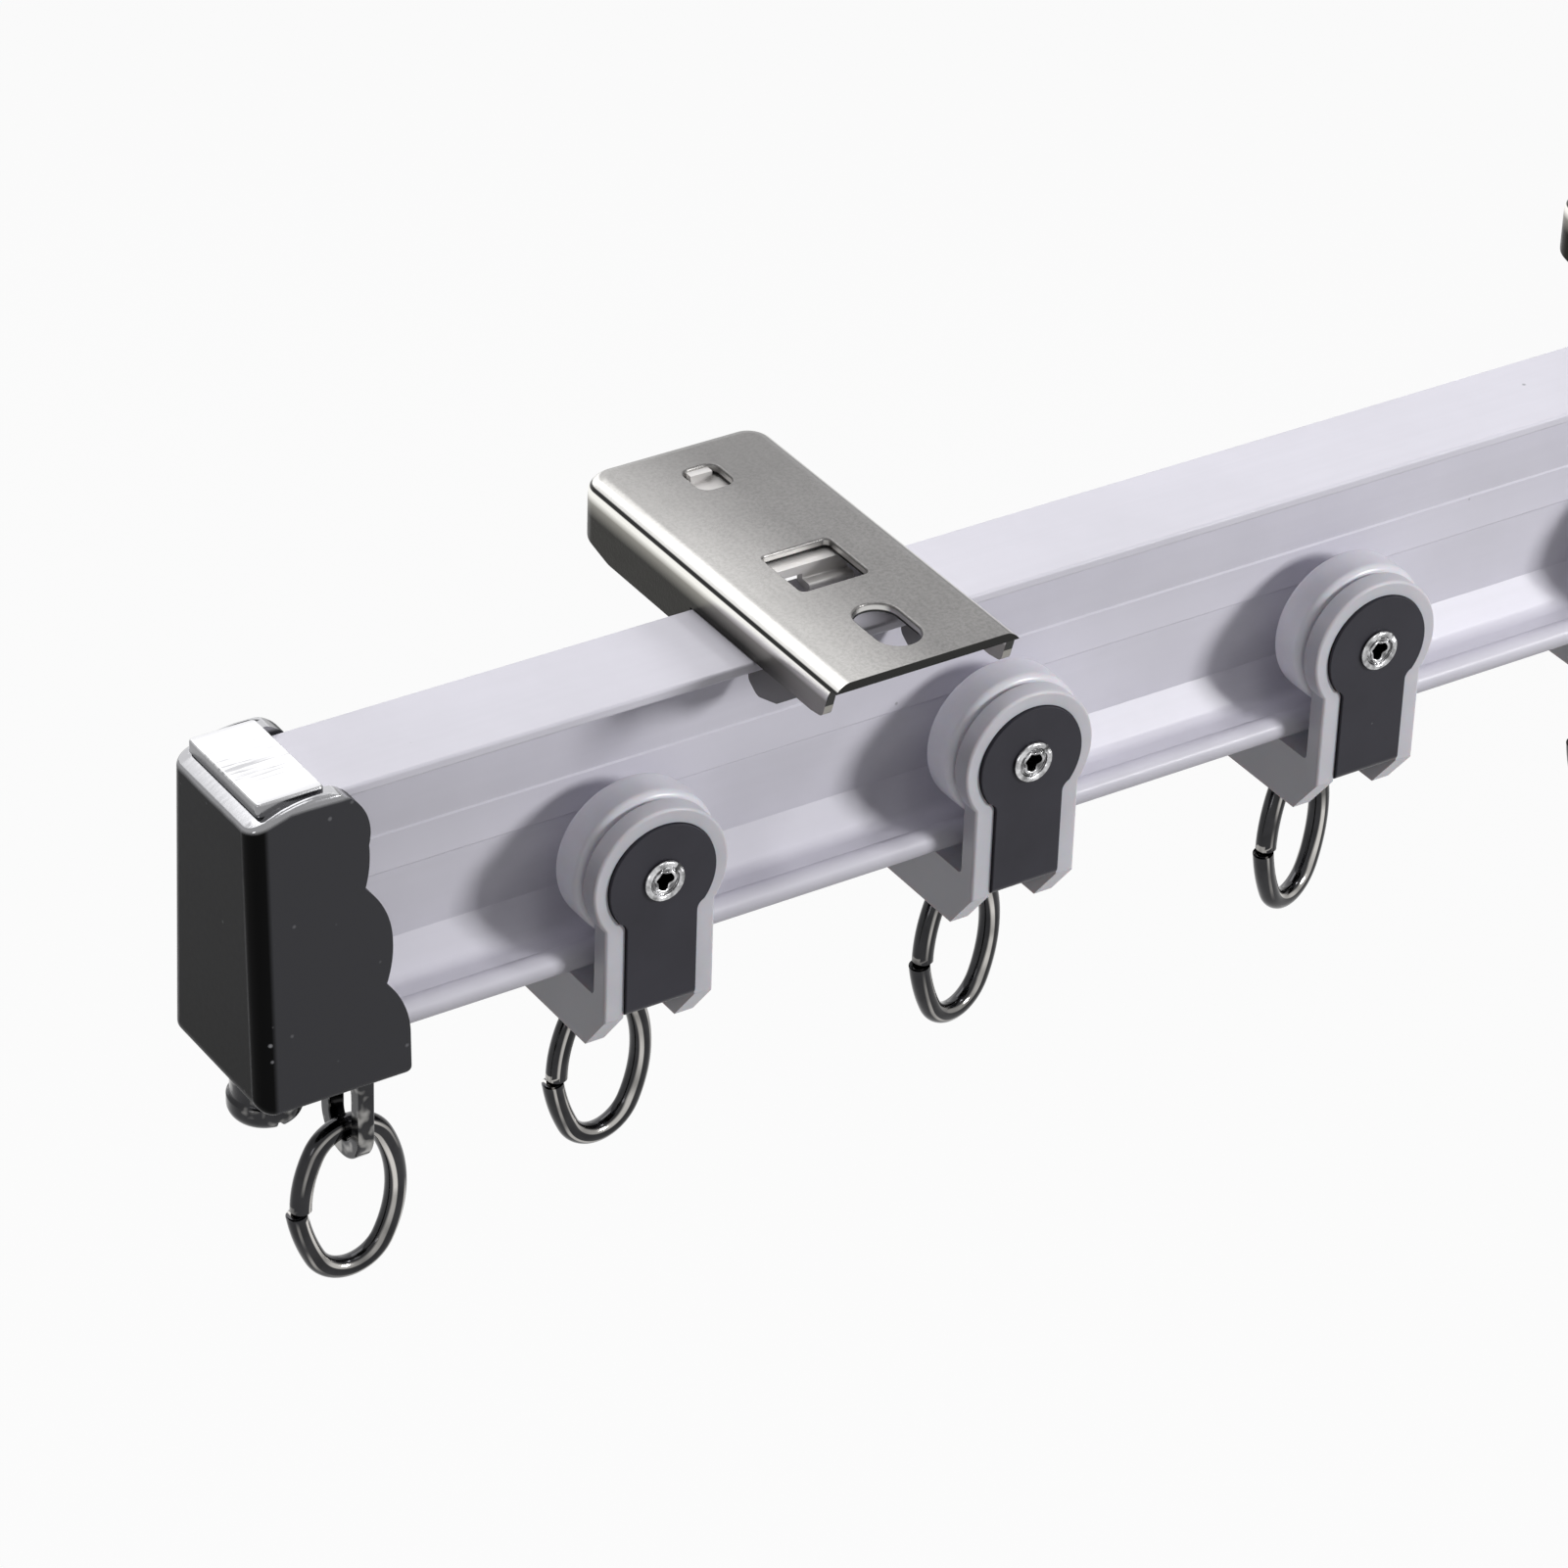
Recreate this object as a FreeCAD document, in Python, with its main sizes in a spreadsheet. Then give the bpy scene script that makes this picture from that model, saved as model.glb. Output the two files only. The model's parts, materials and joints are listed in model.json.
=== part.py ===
import FreeCAD, Part
import Sketcher
import math
import os

V = FreeCAD.Vector

# Room divider track, millimetres.
# Each piece is drawn with z = 0 on the rail's top and then lowered by the bracket's height,
# so the part's origin lies on the brackets' ceiling face at the middle of the rail.
# X runs along the rail, Y across it, Z up.

doc = FreeCAD.newDocument("RoomDividerTrack")
sheet = doc.addObject("Spreadsheet::Sheet", "Sizes")

SIZES = [
    # Track as a whole
    ("track_reach", 264.0),
    ("bracket_rise", 4.8),
    ("runner_count", 5),
    ("runner_pitch", "=track_reach / (runner_count + 1)"),
    ("bracket_from_end", 68.6),
    ("pin_play", 0.05),
    ("fit_gap", 0.1),
    # Rail section
    ("flange_half", 6.0),
    ("flange_thick", 1.2),
    ("web_half", 1.0),
    ("band_proud", 0.15),
    ("track_drop", 26.5),
    ("band_top", "=track_drop * 0.381"),
    ("band_end", "=track_drop * 0.555"),
    ("fold_rise", 3.9),
    ("fold_drop", "=track_drop - fold_rise"),
    ("track_inner", 3.2),
    ("track_thick", 1.5),
    ("bead_half", 6.4),
    ("bead_radius", 1.35),
    ("bead_drop", "=track_drop + track_thick - 0.35"),
    # Rings and eyes
    ("ring_wide", 13.2),
    ("ring_high", 19.8),
    ("ring_wire", 2.3),
    ("ring_end_curve", 4.4),
    ("ring_step", 0.5),
    ("eye_thick", 1.8),
    ("stud_shank", 2.6),
    ("stud_neck", 3.4),
    ("stud_head", 4.2),
    ("stud_head_high", 0.85),
    # End cap
    ("cap_top", 1.35),
    ("cap_wall", 2.0),
    ("cap_top_half", 8.1),
    ("cap_foot_half", 9.5),
    ("cap_floor", "=track_drop + track_thick + 1.2"),
    ("cap_floor_thick", 3.9),
    ("cap_foot", "=cap_floor + cap_floor_thick"),
    ("cap_reach", 16.7),
    ("cap_roof_reach", 9.1),
    ("cap_corner", 2.0),
    ("pad_rise", 0.4),
    ("pad_half", 7.0),
    ("groove_wide", 0.5),
    # Clamp screw
    ("screw_from_end", 5.4),
    ("screw_head", 7.7),
    ("screw_head_high", 6.3),
    ("screw_neck_high", 3.4),
    ("screw_shank", 4.0),
    # Cap eye
    ("cap_eye_inset", 2.0),
    ("cap_eye_from_end", "=cap_reach - cap_eye_inset"),
    ("cap_eye_wide", 8.0),
    ("cap_eye_long", 14.4),
    ("cap_eye_hole", 4.4),
    ("cap_eye_neck", 3.9),
    ("cap_eye_rim", 2.0),
    # Runner
    ("wheel_radius", 8.3),
    ("wheel_gap", 0.3),
    ("axle_drop", "=track_drop - wheel_radius - wheel_gap"),
    ("wheel_inner", 4.2),
    ("wheel_outer", 8.7),
    ("arm_inner", 9.2),
    ("arm_outer", 11.3),
    ("yoke_head", 7.8),
    ("yoke_stem_half", 6.35),
    ("yoke_floor_top", "=track_drop + track_thick + 3"),
    ("yoke_floor_thick", 1.2),
    ("yoke_floor_end", "=yoke_floor_top + yoke_floor_thick"),
    ("yoke_foot_high", 5.6),
    ("yoke_foot", "=yoke_floor_end + yoke_foot_high"),
    ("yoke_foot_half", 7.7),
    ("strap_head", 6.15),
    ("strap_stem_half", 4.05),
    ("strap_outer", 11.7),
    ("strap_thick", 0.9),
    ("strap_neck_drop", 4.8),
    ("runner_eye_wide", 6.0),
    ("runner_eye_hole", 3.1),
    ("runner_eye_rim", 1.5),
    ("rivet_shank", 3.6),
    ("rivet_bore", 2.2),
    ("rivet_ring", 4.6),
    ("rivet_head", 6.0),
    # Bracket
    ("bracket_half", 11.0),
    ("bracket_front", 20.2),
    ("bracket_back", 28.4),
    ("bracket_sheet", 1.0),
    ("bracket_bend", 2.0),
    ("bracket_skirt", 3.1),
    ("hook_tip", 4.4),
    ("window_wide", 8.0),
    ("window_front", 3.5),
    ("window_back", 4.3),
    ("screw_slot_wide", 4.9),
    ("screw_slot_long", 8.5),
    ("screw_slot_at", 12.8),
    ("stop_hole_wide", 4.1),
    ("stop_hole_front", 18.3),
    ("stop_hole_back", 22.9),
    # Latch
    ("latch_half", 9.6),
    ("latch_top", 3.6),
    ("latch_sheet", 1.0),
    ("latch_front", 14.4),
    ("latch_drop", 5.1),
    ("latch_reach", 2.6),
    ("latch_slot_half", 5.6),
    ("latch_slot_end", 2.6),
    ("tab_wide", 5.3),
]

for row, (alias, value) in enumerate(SIZES, start=1):
    sheet.set(f"A{row}", alias)
    sheet.set(f"B{row}", str(value))
    sheet.setAlias(f"B{row}", alias)
doc.recompute()

size = {alias: float(sheet.get(alias)) for alias, _ in SIZES}

# Values that follow from the sizes
end_x = size["track_reach"] / 2
ring_half = (size["ring_high"] - size["ring_wire"]) / 2
wire_radius = size["ring_wire"] / 2
inner_curve = size["ring_end_curve"] - wire_radius
seam_half = 0.12
eye_half = size["eye_thick"] / 2
wire_sag = inner_curve - math.sqrt(inner_curve ** 2 - eye_half ** 2)
seat_below_wire = wire_radius + wire_sag + size["pin_play"]
runner_apex = size["yoke_foot"] + 0.15
runner_eye_end = runner_apex + seat_below_wire + size["runner_eye_rim"]
cap_eye_end = size["cap_foot"] + size["cap_eye_long"]
cap_apex = cap_eye_end - size["cap_eye_rim"] - seat_below_wire
turns = [7.0, 16.0, 22.0, 14.0, 6.0]
runner_count = int(size["runner_count"])
runner_yaws = [turns[i % len(turns)] for i in range(runner_count)]
runner_xs = [size["runner_pitch"] * (i - (runner_count - 1) / 2) for i in range(runner_count)]
bracket_x = end_x - size["bracket_from_end"]

# A cut that goes right through any piece, and how far its outline reaches past the piece
through = size["bracket_front"] + size["bracket_back"] + size["cap_foot"]
past = 5.0

sub_parts = []


# Outlines of points (x, y) or (x, y, corner radius)

def cut_corner(before, corner, after, radius):
    """The two tangent points and the middle of the arc that rounds a corner."""
    to_before = (before - corner).normalize()
    to_after = (after - corner).normalize()
    half = to_before.getAngle(to_after) / 2
    reach = radius / math.tan(half)
    bisector = (to_before + to_after).normalize()
    centre = corner + bisector * (radius / math.sin(half))
    return corner + to_before * reach, centre - bisector * radius, corner + to_after * reach


def path(points, closed=False):
    """Lines through the points, with the corners rounded where a radius is given."""
    count = len(points)
    spots = [V(p[0], p[1], 0) for p in points]
    radii = [p[2] if len(p) == 3 else 0.0 for p in points]
    ends = []
    for i in range(count):
        if radii[i] > 0:
            ends.append(cut_corner(spots[i - 1], spots[i], spots[(i + 1) % count], radii[i]))
        else:
            ends.append((spots[i], None, spots[i]))
    pieces = []
    for i, (start, middle, stop) in enumerate(ends):
        if middle is not None:
            pieces.append(Part.Arc(start, middle, stop))
        if i < count - 1 or closed:
            following = ends[(i + 1) % count][0]
            if (following - stop).Length > 1e-6:
                pieces.append(Part.LineSegment(stop, following))
    return pieces


def curve(points, closed=False):
    """Lines to points (x, y) and arcs ("arc", middle, end), one after another."""
    pieces = []
    here = V(points[0][0], points[0][1], 0)
    first = here
    for p in points[1:]:
        if p[0] == "arc":
            end = V(p[2][0], p[2][1], 0)
            pieces.append(Part.Arc(here, V(p[1][0], p[1][1], 0), end))
        else:
            end = V(p[0], p[1], 0)
            pieces.append(Part.LineSegment(here, end))
        here = end
    if closed and (first - here).Length > 1e-6:
        pieces.append(Part.LineSegment(here, first))
    return pieces


def mirrored(pieces):
    """The pieces and their mirror image across the sketch's vertical axis."""
    flipped = []
    for piece in reversed(pieces):
        first = piece.StartPoint
        last = piece.EndPoint
        a = V(-last.x, last.y, 0)
        b = V(-first.x, first.y, 0)
        if isinstance(piece, Part.LineSegment):
            flipped.append(Part.LineSegment(a, b))
        else:
            middle = piece.value((piece.FirstParameter + piece.LastParameter) / 2)
            flipped.append(Part.Arc(a, V(-middle.x, middle.y, 0), b))
    return pieces + flipped


def box_path(x0, y0, x1, y1, radius=0.0):
    return path([(x0, y0, radius), (x1, y0, radius), (x1, y1, radius), (x0, y1, radius)], True)


def circle(x, y, radius):
    return [Part.Circle(V(x, y, 0), V(0, 0, 1), radius)]


# Features

def new_body(label):
    body = doc.addObject("PartDesign::Body", label)
    body.Label = label
    sub_parts.append(body)
    return body


def sketch(body, role, pieces, offset=0.0):
    drawing = body.newObject("Sketcher::SketchObject", f"{body.Label}_sketch")
    plane = [f for f in body.Origin.OriginFeatures if f.Role == role][0]
    drawing.AttachmentSupport = [(plane, "")]
    drawing.MapMode = "FlatFace"
    drawing.AttachmentOffset = FreeCAD.Placement(V(0, 0, offset), FreeCAD.Rotation())
    drawing.addGeometry(pieces, False)
    if isinstance(pieces[0], Part.Circle):
        drawing.addConstraint(Sketcher.Constraint("Radius", 0, pieces[0].Radius))
    return drawing


def solid_size(body):
    doc.recompute()
    return body.Shape.Volume if body.Shape.Solids else 0.0


def pad(body, role, pieces, length, offset=0.0, middle=False, back=False):
    """Adds material; length is a number or an expression over the sheet."""
    drawing = sketch(body, role, pieces, offset)
    return extrude("PartDesign::Pad", body, drawing, length, middle, back, 1)


def cut(body, role, pieces, length, offset=0.0, middle=False, back=False):
    """Takes material away below the sketch's plane, or above it when back is set."""
    drawing = sketch(body, role, pieces, offset)
    return extrude("PartDesign::Pocket", body, drawing, length, middle, back, -1)


def extrude(kind, body, drawing, length, middle, reverse, sign):
    """A pad or pocket of a sketch that has to change the solid."""
    before = solid_size(body)
    feature = body.newObject(kind, f"{body.Label}_step")
    feature.Profile = drawing
    feature.SideType = "Symmetric" if middle else "One side"
    feature.Reversed = reverse and not middle
    if isinstance(length, str):
        feature.setExpression("Length", length)
    else:
        feature.Length = length
    after = solid_size(body)
    if (after - before) * sign <= 1e-4:
        raise RuntimeError(f"{feature.Name} changed nothing: {before} {after}")
    return feature


def revolve(body, role, pieces, axis, offset=0.0):
    drawing = sketch(body, role, pieces, offset)
    feature = body.newObject("PartDesign::Revolution", f"{body.Label}_turned")
    feature.Profile = drawing
    feature.ReferenceAxis = (drawing, [axis])
    feature.Angle = 360
    doc.recompute()
    return feature


def soften(body, kind, radius, wanted):
    """A fillet or chamfer on the edges of the body's last feature that wanted picks."""
    base = body.Tip
    names = [f"Edge{i}" for i, edge in enumerate(base.Shape.Edges, start=1) if wanted(edge)]
    if not names:
        raise RuntimeError(f"no edge to soften on {body.Label}")
    feature = body.newObject(f"PartDesign::{kind}", f"{body.Label}_{kind.lower()}")
    feature.Base = (base, names)
    if kind == "Fillet":
        feature.Radius = radius
    else:
        feature.Size = radius
    doc.recompute()
    return feature


def flat_at(edge, height, slack=0.02):
    box = edge.BoundBox
    return abs(box.ZMin - height) < slack and abs(box.ZMax - height) < slack


def place(body, x, y=0.0, drop=0.0, yaw=0.0):
    """Sets a finished body at x along the rail, drop below the rail's top."""
    body.Placement = FreeCAD.Placement(V(x, y, 0), FreeCAD.Rotation(V(0, 0, 1), yaw))
    body.setExpression("Placement.Base.z", f"-Sizes.bracket_rise - {drop}")


# Rail

def build_rail():
    body = new_body("rail")
    s = size
    rise = s["bead_drop"] - s["track_drop"]
    fall = s["track_drop"] + s["track_thick"] - s["bead_drop"]
    top_run = math.sqrt(s["bead_radius"] ** 2 - rise ** 2)
    low_run = math.sqrt(s["bead_radius"] ** 2 - fall ** 2)
    web = s["web_half"]
    proud = web + s["band_proud"]
    slope = 0.2
    right = path([
        (0, 0),
        (s["flange_half"], 0, 0.35),
        (s["flange_half"], -s["flange_thick"], 0.35),
        (web, -s["flange_thick"], 0.4),
        (web, -s["band_top"]),
        (proud, -s["band_top"] - slope),
        (proud, -s["band_end"] + slope),
        (web, -s["band_end"]),
        (web, -s["fold_drop"]),
        (s["track_inner"], -s["track_drop"], 1.5),
        (s["bead_half"] - top_run, -s["track_drop"]),
    ])
    right += curve([
        (s["bead_half"] - top_run, -s["track_drop"]),
        ("arc", (s["bead_half"] + s["bead_radius"], -s["bead_drop"]),
         (s["bead_half"] - low_run, -s["bead_drop"] - fall)),
        (0, -s["bead_drop"] - fall),
    ])
    pad(body, "YZ_Plane", mirrored(right), "Sizes.track_reach - 2 * Sizes.cap_wall", middle=True)
    place(body, 0)


# End caps

def cap_half_at(drop):
    """Half the cap's width at a height below the rail's top."""
    run = size["cap_foot"] + size["cap_top"]
    share = (drop + size["cap_top"]) / run
    return size["cap_top_half"] + (size["cap_foot_half"] - size["cap_top_half"]) * share


def build_cap(label, x, yaw):
    body = new_body(label)
    s = size
    top = s["cap_top"]
    foot = -s["cap_foot"]
    reach = s["cap_reach"]
    section = path([(0, top), (s["cap_top_half"], top), (s["cap_foot_half"], foot, 1.0), (0, foot)])
    pad(body, "YZ_Plane", mirrored(section), "Sizes.cap_reach")

    # The two side wings end in three scallops, and the top falls off toward the end face
    lobe_1 = reach - 4.0
    notch_1 = reach - 4.55
    lobe_2 = reach - 1.7
    notch_2 = reach - 2.5
    scallops = curve([
        (-past, top + past),
        (-past, top - 2.1),
        (0, top - 2.1),
        ("arc", (3.6, top - 0.55), (8.2, top)),
        ("arc", (lobe_1 - 1.5, top - 1.4), (lobe_1, foot * 0.166)),
        ("arc", (lobe_1 - 0.1, foot * 0.252), (notch_1, foot * 0.311)),
        ("arc", (lobe_2 - 0.75, foot * 0.402), (lobe_2, foot * 0.52)),
        ("arc", (lobe_2 - 0.2, foot * 0.592), (notch_2, foot * 0.656)),
        ("arc", (reach - 0.6, foot * 0.75), (reach, foot * 0.864)),
        (reach, foot + 1.2),
        ("arc", (reach - 0.3, foot + 0.4), (reach - 1.1, foot)),
        (reach - 1.1, foot - past),
        (reach + past, foot - past),
        (reach + past, top + past),
    ], True)
    cut(body, "XZ_Plane", scallops, through, middle=True)
    soften(body, "Fillet", s["cap_corner"], upright_at_end)
    soften(body, "Fillet", 0.7, lambda e: cap_rim(e, top))

    # Room for the rail: a pocket that follows its section and opens toward the track
    gap = s["fit_gap"]
    inner_top = cap_half_at(s["flange_thick"]) - 1.5
    inner_low = cap_half_at(s["track_drop"]) - 1.5
    bead = s["bead_half"] + s["bead_radius"] + gap
    room = path([
        (0, 0),
        (s["flange_half"] + gap, 0),
        (s["flange_half"] + gap, -s["flange_thick"] - gap),
        (inner_top, -s["flange_thick"] - gap - 0.4),
        (inner_low, -s["track_drop"] + 1.0),
        (bead, -s["track_drop"] + 0.3),
        (bead, -s["cap_floor"]),
        (0, -s["cap_floor"]),
    ])
    cut(body, "YZ_Plane", mirrored(room), through, offset=s["cap_wall"], back=True)
    roof = box_path(s["cap_roof_reach"], -s["flange_half"] - gap, reach + past,
                    s["flange_half"] + gap)
    cut(body, "XY_Plane", roof, through, offset=-0.5, back=True)

    # Raised pad on top with a groove round it
    wide = s["groove_wide"]
    x0 = 1.4
    x1 = s["cap_roof_reach"] - 0.4
    half = s["pad_half"]
    plate = box_path(x0, -half, x1, half, 0.5)
    pad(body, "XY_Plane", plate, "Sizes.pad_rise + 1", offset=top - 1)
    soften(body, "Fillet", 0.3, lambda e: flat_at(e, top + s["pad_rise"]))
    groove = box_path(x0 - wide, -half - wide, x1 + past, half + wide, 0.5) + plate
    cut(body, "XY_Plane", groove, through, offset=top - 0.35, back=True)

    # The clamp screw's hole, and the eye's hole with room for its head
    bore = s["screw_shank"] / 2 + s["pin_play"]
    floor = -s["cap_floor"]
    cut(body, "XY_Plane", circle(s["screw_from_end"], 0, bore), through, offset=floor + 1)
    eye = s["cap_eye_from_end"]
    shank = s["stud_shank"] / 2 + s["pin_play"]
    cut(body, "XY_Plane", circle(eye, 0, shank), through, offset=floor + 1)
    room_high = s["stud_head_high"] + 2 * s["fit_gap"]
    cut(body, "XY_Plane", circle(eye, 0, s["stud_head"] / 2 + s["fit_gap"]), room_high + 1,
        offset=floor + 1)
    place(body, x, yaw=yaw)


def upright_at_end(edge):
    box = edge.BoundBox
    return box.XMax < 0.1 and box.ZLength > size["track_drop"] / 2


def cap_rim(edge, top):
    box = edge.BoundBox
    return box.ZMin > top - 2.6 and box.XMax < size["cap_roof_reach"] + 0.1


# Clamp screws

def build_clamp_screw(label, x, yaw):
    body = new_body(label)
    s = size
    head = s["screw_head"] / 2
    shank = s["screw_shank"] / 2
    foot = -s["cap_foot"]
    tip = -s["track_drop"] - s["track_thick"]
    neck = foot - s["screw_neck_high"]
    deep = foot - s["screw_head_high"]
    profile = path([
        (0, tip),
        (shank, tip, 0.3),
        (shank, foot),
        (head - 0.35, foot, 0.3),
        (head - 0.35, neck, 0.25),
        (head, neck - 0.25, 0.3),
        (head, deep, 1.6),
        (0, deep),
    ], True)
    revolve(body, "XZ_Plane", profile, "V_Axis")
    slot = box_path(-0.5, -head - past, 0.5, head + past)
    cut(body, "XY_Plane", slot, 1.2, offset=deep, back=True)
    place(body, x, yaw=yaw)


# Eyes

def build_eye(label, x, yaw, head_at, plate_from, kind, low, hole_top):
    """A swivel stud with a flat loop below it; its axis is the body's own Z axis."""
    body = new_body(label)
    s = size
    shank = s["stud_shank"] / 2
    neck = s["stud_neck"] / 2
    head = s["stud_head"] / 2
    shoulder = -plate_from
    tip = shoulder - 1.6
    stud = path([
        (0, -head_at + s["stud_head_high"]),
        (head, -head_at + s["stud_head_high"], 0.5),
        (head, -head_at),
        (shank, -head_at),
        (shank, shoulder),
        (neck, shoulder, 0.3),
        (neck, tip),
        (0, tip),
    ], True)
    revolve(body, "XZ_Plane", stud, "V_Axis")
    half = s[f"{kind}_wide"] / 2
    bend = half - 0.1
    top_bend = min(half - 0.4, 2.2)
    loop = path([
        (-half, shoulder - 0.35, top_bend),
        (half, shoulder - 0.35, top_bend),
        (half, -low, bend),
        (-half, -low, bend),
    ], True)
    pad(body, "YZ_Plane", loop, "Sizes.eye_thick", middle=True)
    radius = s[f"{kind}_hole"] / 2
    seat = s[f"{kind}_rim"] - low
    if hole_top is None:
        hole = circle(0, seat + radius, radius)
    else:
        hole = box_path(-radius, seat, radius, -hole_top, radius - 0.001)
    cut(body, "YZ_Plane", hole, through, middle=True)
    soften(body, "Fillet", 0.25, lambda e: on_eye_face(e, shoulder))
    place(body, x, yaw=yaw)


def on_eye_face(edge, shoulder):
    box = edge.BoundBox
    flat = box.XLength < 0.01 and abs(abs(box.XMin) - eye_half) < 0.01
    return flat and box.ZMax < shoulder - 1.7


# Rings

def build_ring(label, x, yaw, apex):
    """An oval of wire, bent round and left unwelded: its ends meet at mid height, one proud."""
    body = new_body(label)
    s = size
    half_wide = (s["ring_wide"] - s["ring_wire"]) / 2
    end_curve = s["ring_end_curve"]
    side_curve = half_wide ** 2 + ring_half ** 2 - 2 * ring_half * end_curve
    side_curve = side_curve / (2 * (half_wide - end_curve))
    turn = math.atan2(ring_half - end_curve, side_curve - half_wide)
    join_x = half_wide - side_curve + side_curve * math.cos(turn)
    join_z = side_curve * math.sin(turn)
    mid_x = half_wide - side_curve + side_curve * math.cos(turn / 2)
    mid_z = side_curve * math.sin(turn / 2)
    low_x = half_wide + s["ring_step"]
    spine = curve([
        (-half_wide, 0),
        ("arc", (-mid_x, mid_z), (-join_x, join_z)),
        ("arc", (0, ring_half), (join_x, join_z)),
        ("arc", (half_wide, 0), (join_x, -join_z)),
        ("arc", (0, -ring_half), (-join_x, -join_z)),
    ])
    normal = V(join_x + side_curve - half_wide, join_z, 0).normalize()
    corner = V(-join_x, -join_z, 0)
    wide_curve = step_curve(corner, normal, low_x)
    centre = corner + normal * wide_curve
    first = math.atan2(corner.y - centre.y, corner.x - centre.x) % (2 * math.pi)
    last = (math.pi - math.asin(max(-1, min(1, (-seam_half - centre.y) / wide_curve)))) % (2 * math.pi)
    along = (first + last) / 2
    middle = centre + V(math.cos(along), math.sin(along), 0) * wide_curve
    end = centre + V(math.cos(last), math.sin(last), 0) * wide_curve
    spine.append(Part.Arc(corner, middle, end))
    wire = sketch(body, "XY_Plane", circle(-half_wide, 0, wire_radius))
    line = sketch(body, "XZ_Plane", spine)
    feature = body.newObject("PartDesign::AdditivePipe", f"{label}_bent")
    feature.Profile = wire
    feature.Spine = line
    feature.Mode = "Frenet"
    doc.recompute()
    place(body, x, drop=apex + ring_half, yaw=yaw)


def step_curve(corner, normal, reach):
    """The radius of the last quarter, so that its end stands out by the ring's step."""
    low = 5.0
    high = 400.0
    for _ in range(60):
        radius = (low + high) / 2
        centre = corner + normal * radius
        run = -seam_half - centre.y
        out = math.sqrt(max(radius ** 2 - run ** 2, 0)) - centre.x
        if out < reach:
            low = radius
        else:
            high = radius
    return radius


# Runners

def keyhole(head, half, low):
    """A round head on a straight stem, drawn with the axle at its true height."""
    axle = -size["axle_drop"]
    neck = axle - math.sqrt(head ** 2 - half ** 2)
    right = curve([
        (0, axle + head),
        ("arc", (head, axle), (half, neck)),
        (half, low),
        (0, low),
    ])
    return mirrored(right)


def necked_keyhole(head, half, low):
    """The same with a soft neck, where the round head runs into the stem."""
    axle = -size["axle_drop"]
    neck = axle - size["strap_neck_drop"]
    angle = math.radians(-38)
    side_x = head * math.cos(angle)
    side_y = axle + head * math.sin(angle)
    bend = ((side_x + half) / 2 - 0.15, (side_y + neck) / 2 + 0.1)
    right = curve([
        (0, axle + head),
        ("arc", (head, axle), (side_x, side_y)),
        ("arc", bend, (half, neck)),
        (half, low),
        (0, low),
    ])
    return mirrored(right)


def build_yoke(label, x):
    body = new_body(label)
    s = size
    foot = -s["yoke_foot"]
    floor_end = -s["yoke_floor_end"]
    strap_end = s["yoke_floor_end"] + s["strap_thick"]
    outline = keyhole(s["yoke_head"], s["yoke_stem_half"], foot)
    pad(body, "XZ_Plane", outline, "2 * Sizes.arm_outer", middle=True)
    between = box_path(-s["arm_inner"], -s["yoke_floor_top"], s["arm_inner"], past, 0.6)
    cut(body, "YZ_Plane", between, through, middle=True)
    recess = necked_keyhole(s["strap_head"] + s["fit_gap"], s["strap_stem_half"] + s["fit_gap"],
                            foot - past)
    deep = s["strap_outer"] - s["strap_thick"]
    for side in (1, -1):
        cut(body, "XZ_Plane", recess, through, offset=side * deep, back=side > 0)
    channel = s["strap_stem_half"] + s["fit_gap"]
    cut(body, "XZ_Plane", box_path(-channel, foot - past, channel, floor_end), through,
        middle=True)
    for side in (1, -1):
        slant = path([
            (side * (s["arm_outer"] + 0.1), -strap_end),
            (side * s["yoke_foot_half"], foot),
            (side * s["yoke_foot_half"], foot - past),
            (side * (s["arm_outer"] + past), foot - past),
            (side * (s["arm_outer"] + past), -strap_end),
        ], True)
        cut(body, "YZ_Plane", slant, through, middle=True)
    bore = s["rivet_shank"] / 2 + s["pin_play"]
    cut(body, "XZ_Plane", circle(0, -s["axle_drop"], bore), through, middle=True)
    stud = s["stud_shank"] / 2 + s["pin_play"]
    cut(body, "XY_Plane", circle(0, 0, stud), through, middle=True)
    soften(body, "Fillet", 0.35, yoke_outer_rim)
    place(body, x)


def yoke_outer_rim(edge):
    """The edges round each arm's outer face, above the slanted foot."""
    box = edge.BoundBox
    s = size
    flat = box.YLength < 0.01 and abs(abs(box.YMin) - s["arm_outer"]) < 0.01
    outer = box.XMax > s["yoke_stem_half"] - 0.05 or box.XMin < -s["yoke_stem_half"] + 0.05
    return flat and outer and box.ZMin > -s["yoke_floor_end"] - s["strap_thick"] - 0.3


def build_strap(label, x):
    body = new_body(label)
    s = size
    low = -s["yoke_floor_end"] - s["strap_thick"]
    inner = s["strap_outer"] - s["strap_thick"]
    outline = necked_keyhole(s["strap_head"], s["strap_stem_half"], low)
    pad(body, "XZ_Plane", outline, "2 * Sizes.strap_outer", middle=True)
    soften(body, "Fillet", s["strap_thick"], lambda e: strap_bend(e, low))
    between = box_path(-inner, -s["yoke_floor_end"], inner, past, 0.2)
    cut(body, "YZ_Plane", between, through, middle=True)
    bore = s["rivet_shank"] / 2 + s["pin_play"]
    cut(body, "XZ_Plane", circle(0, -s["axle_drop"], bore), through, middle=True)
    stud = s["stud_shank"] / 2 + s["pin_play"]
    cut(body, "XY_Plane", circle(0, 0, stud), through, middle=True)
    place(body, x)


def strap_bend(edge, low):
    box = edge.BoundBox
    return flat_at(edge, low) and box.XLength > 2 and abs(box.YMin) > size["strap_outer"] - 0.1


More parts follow.
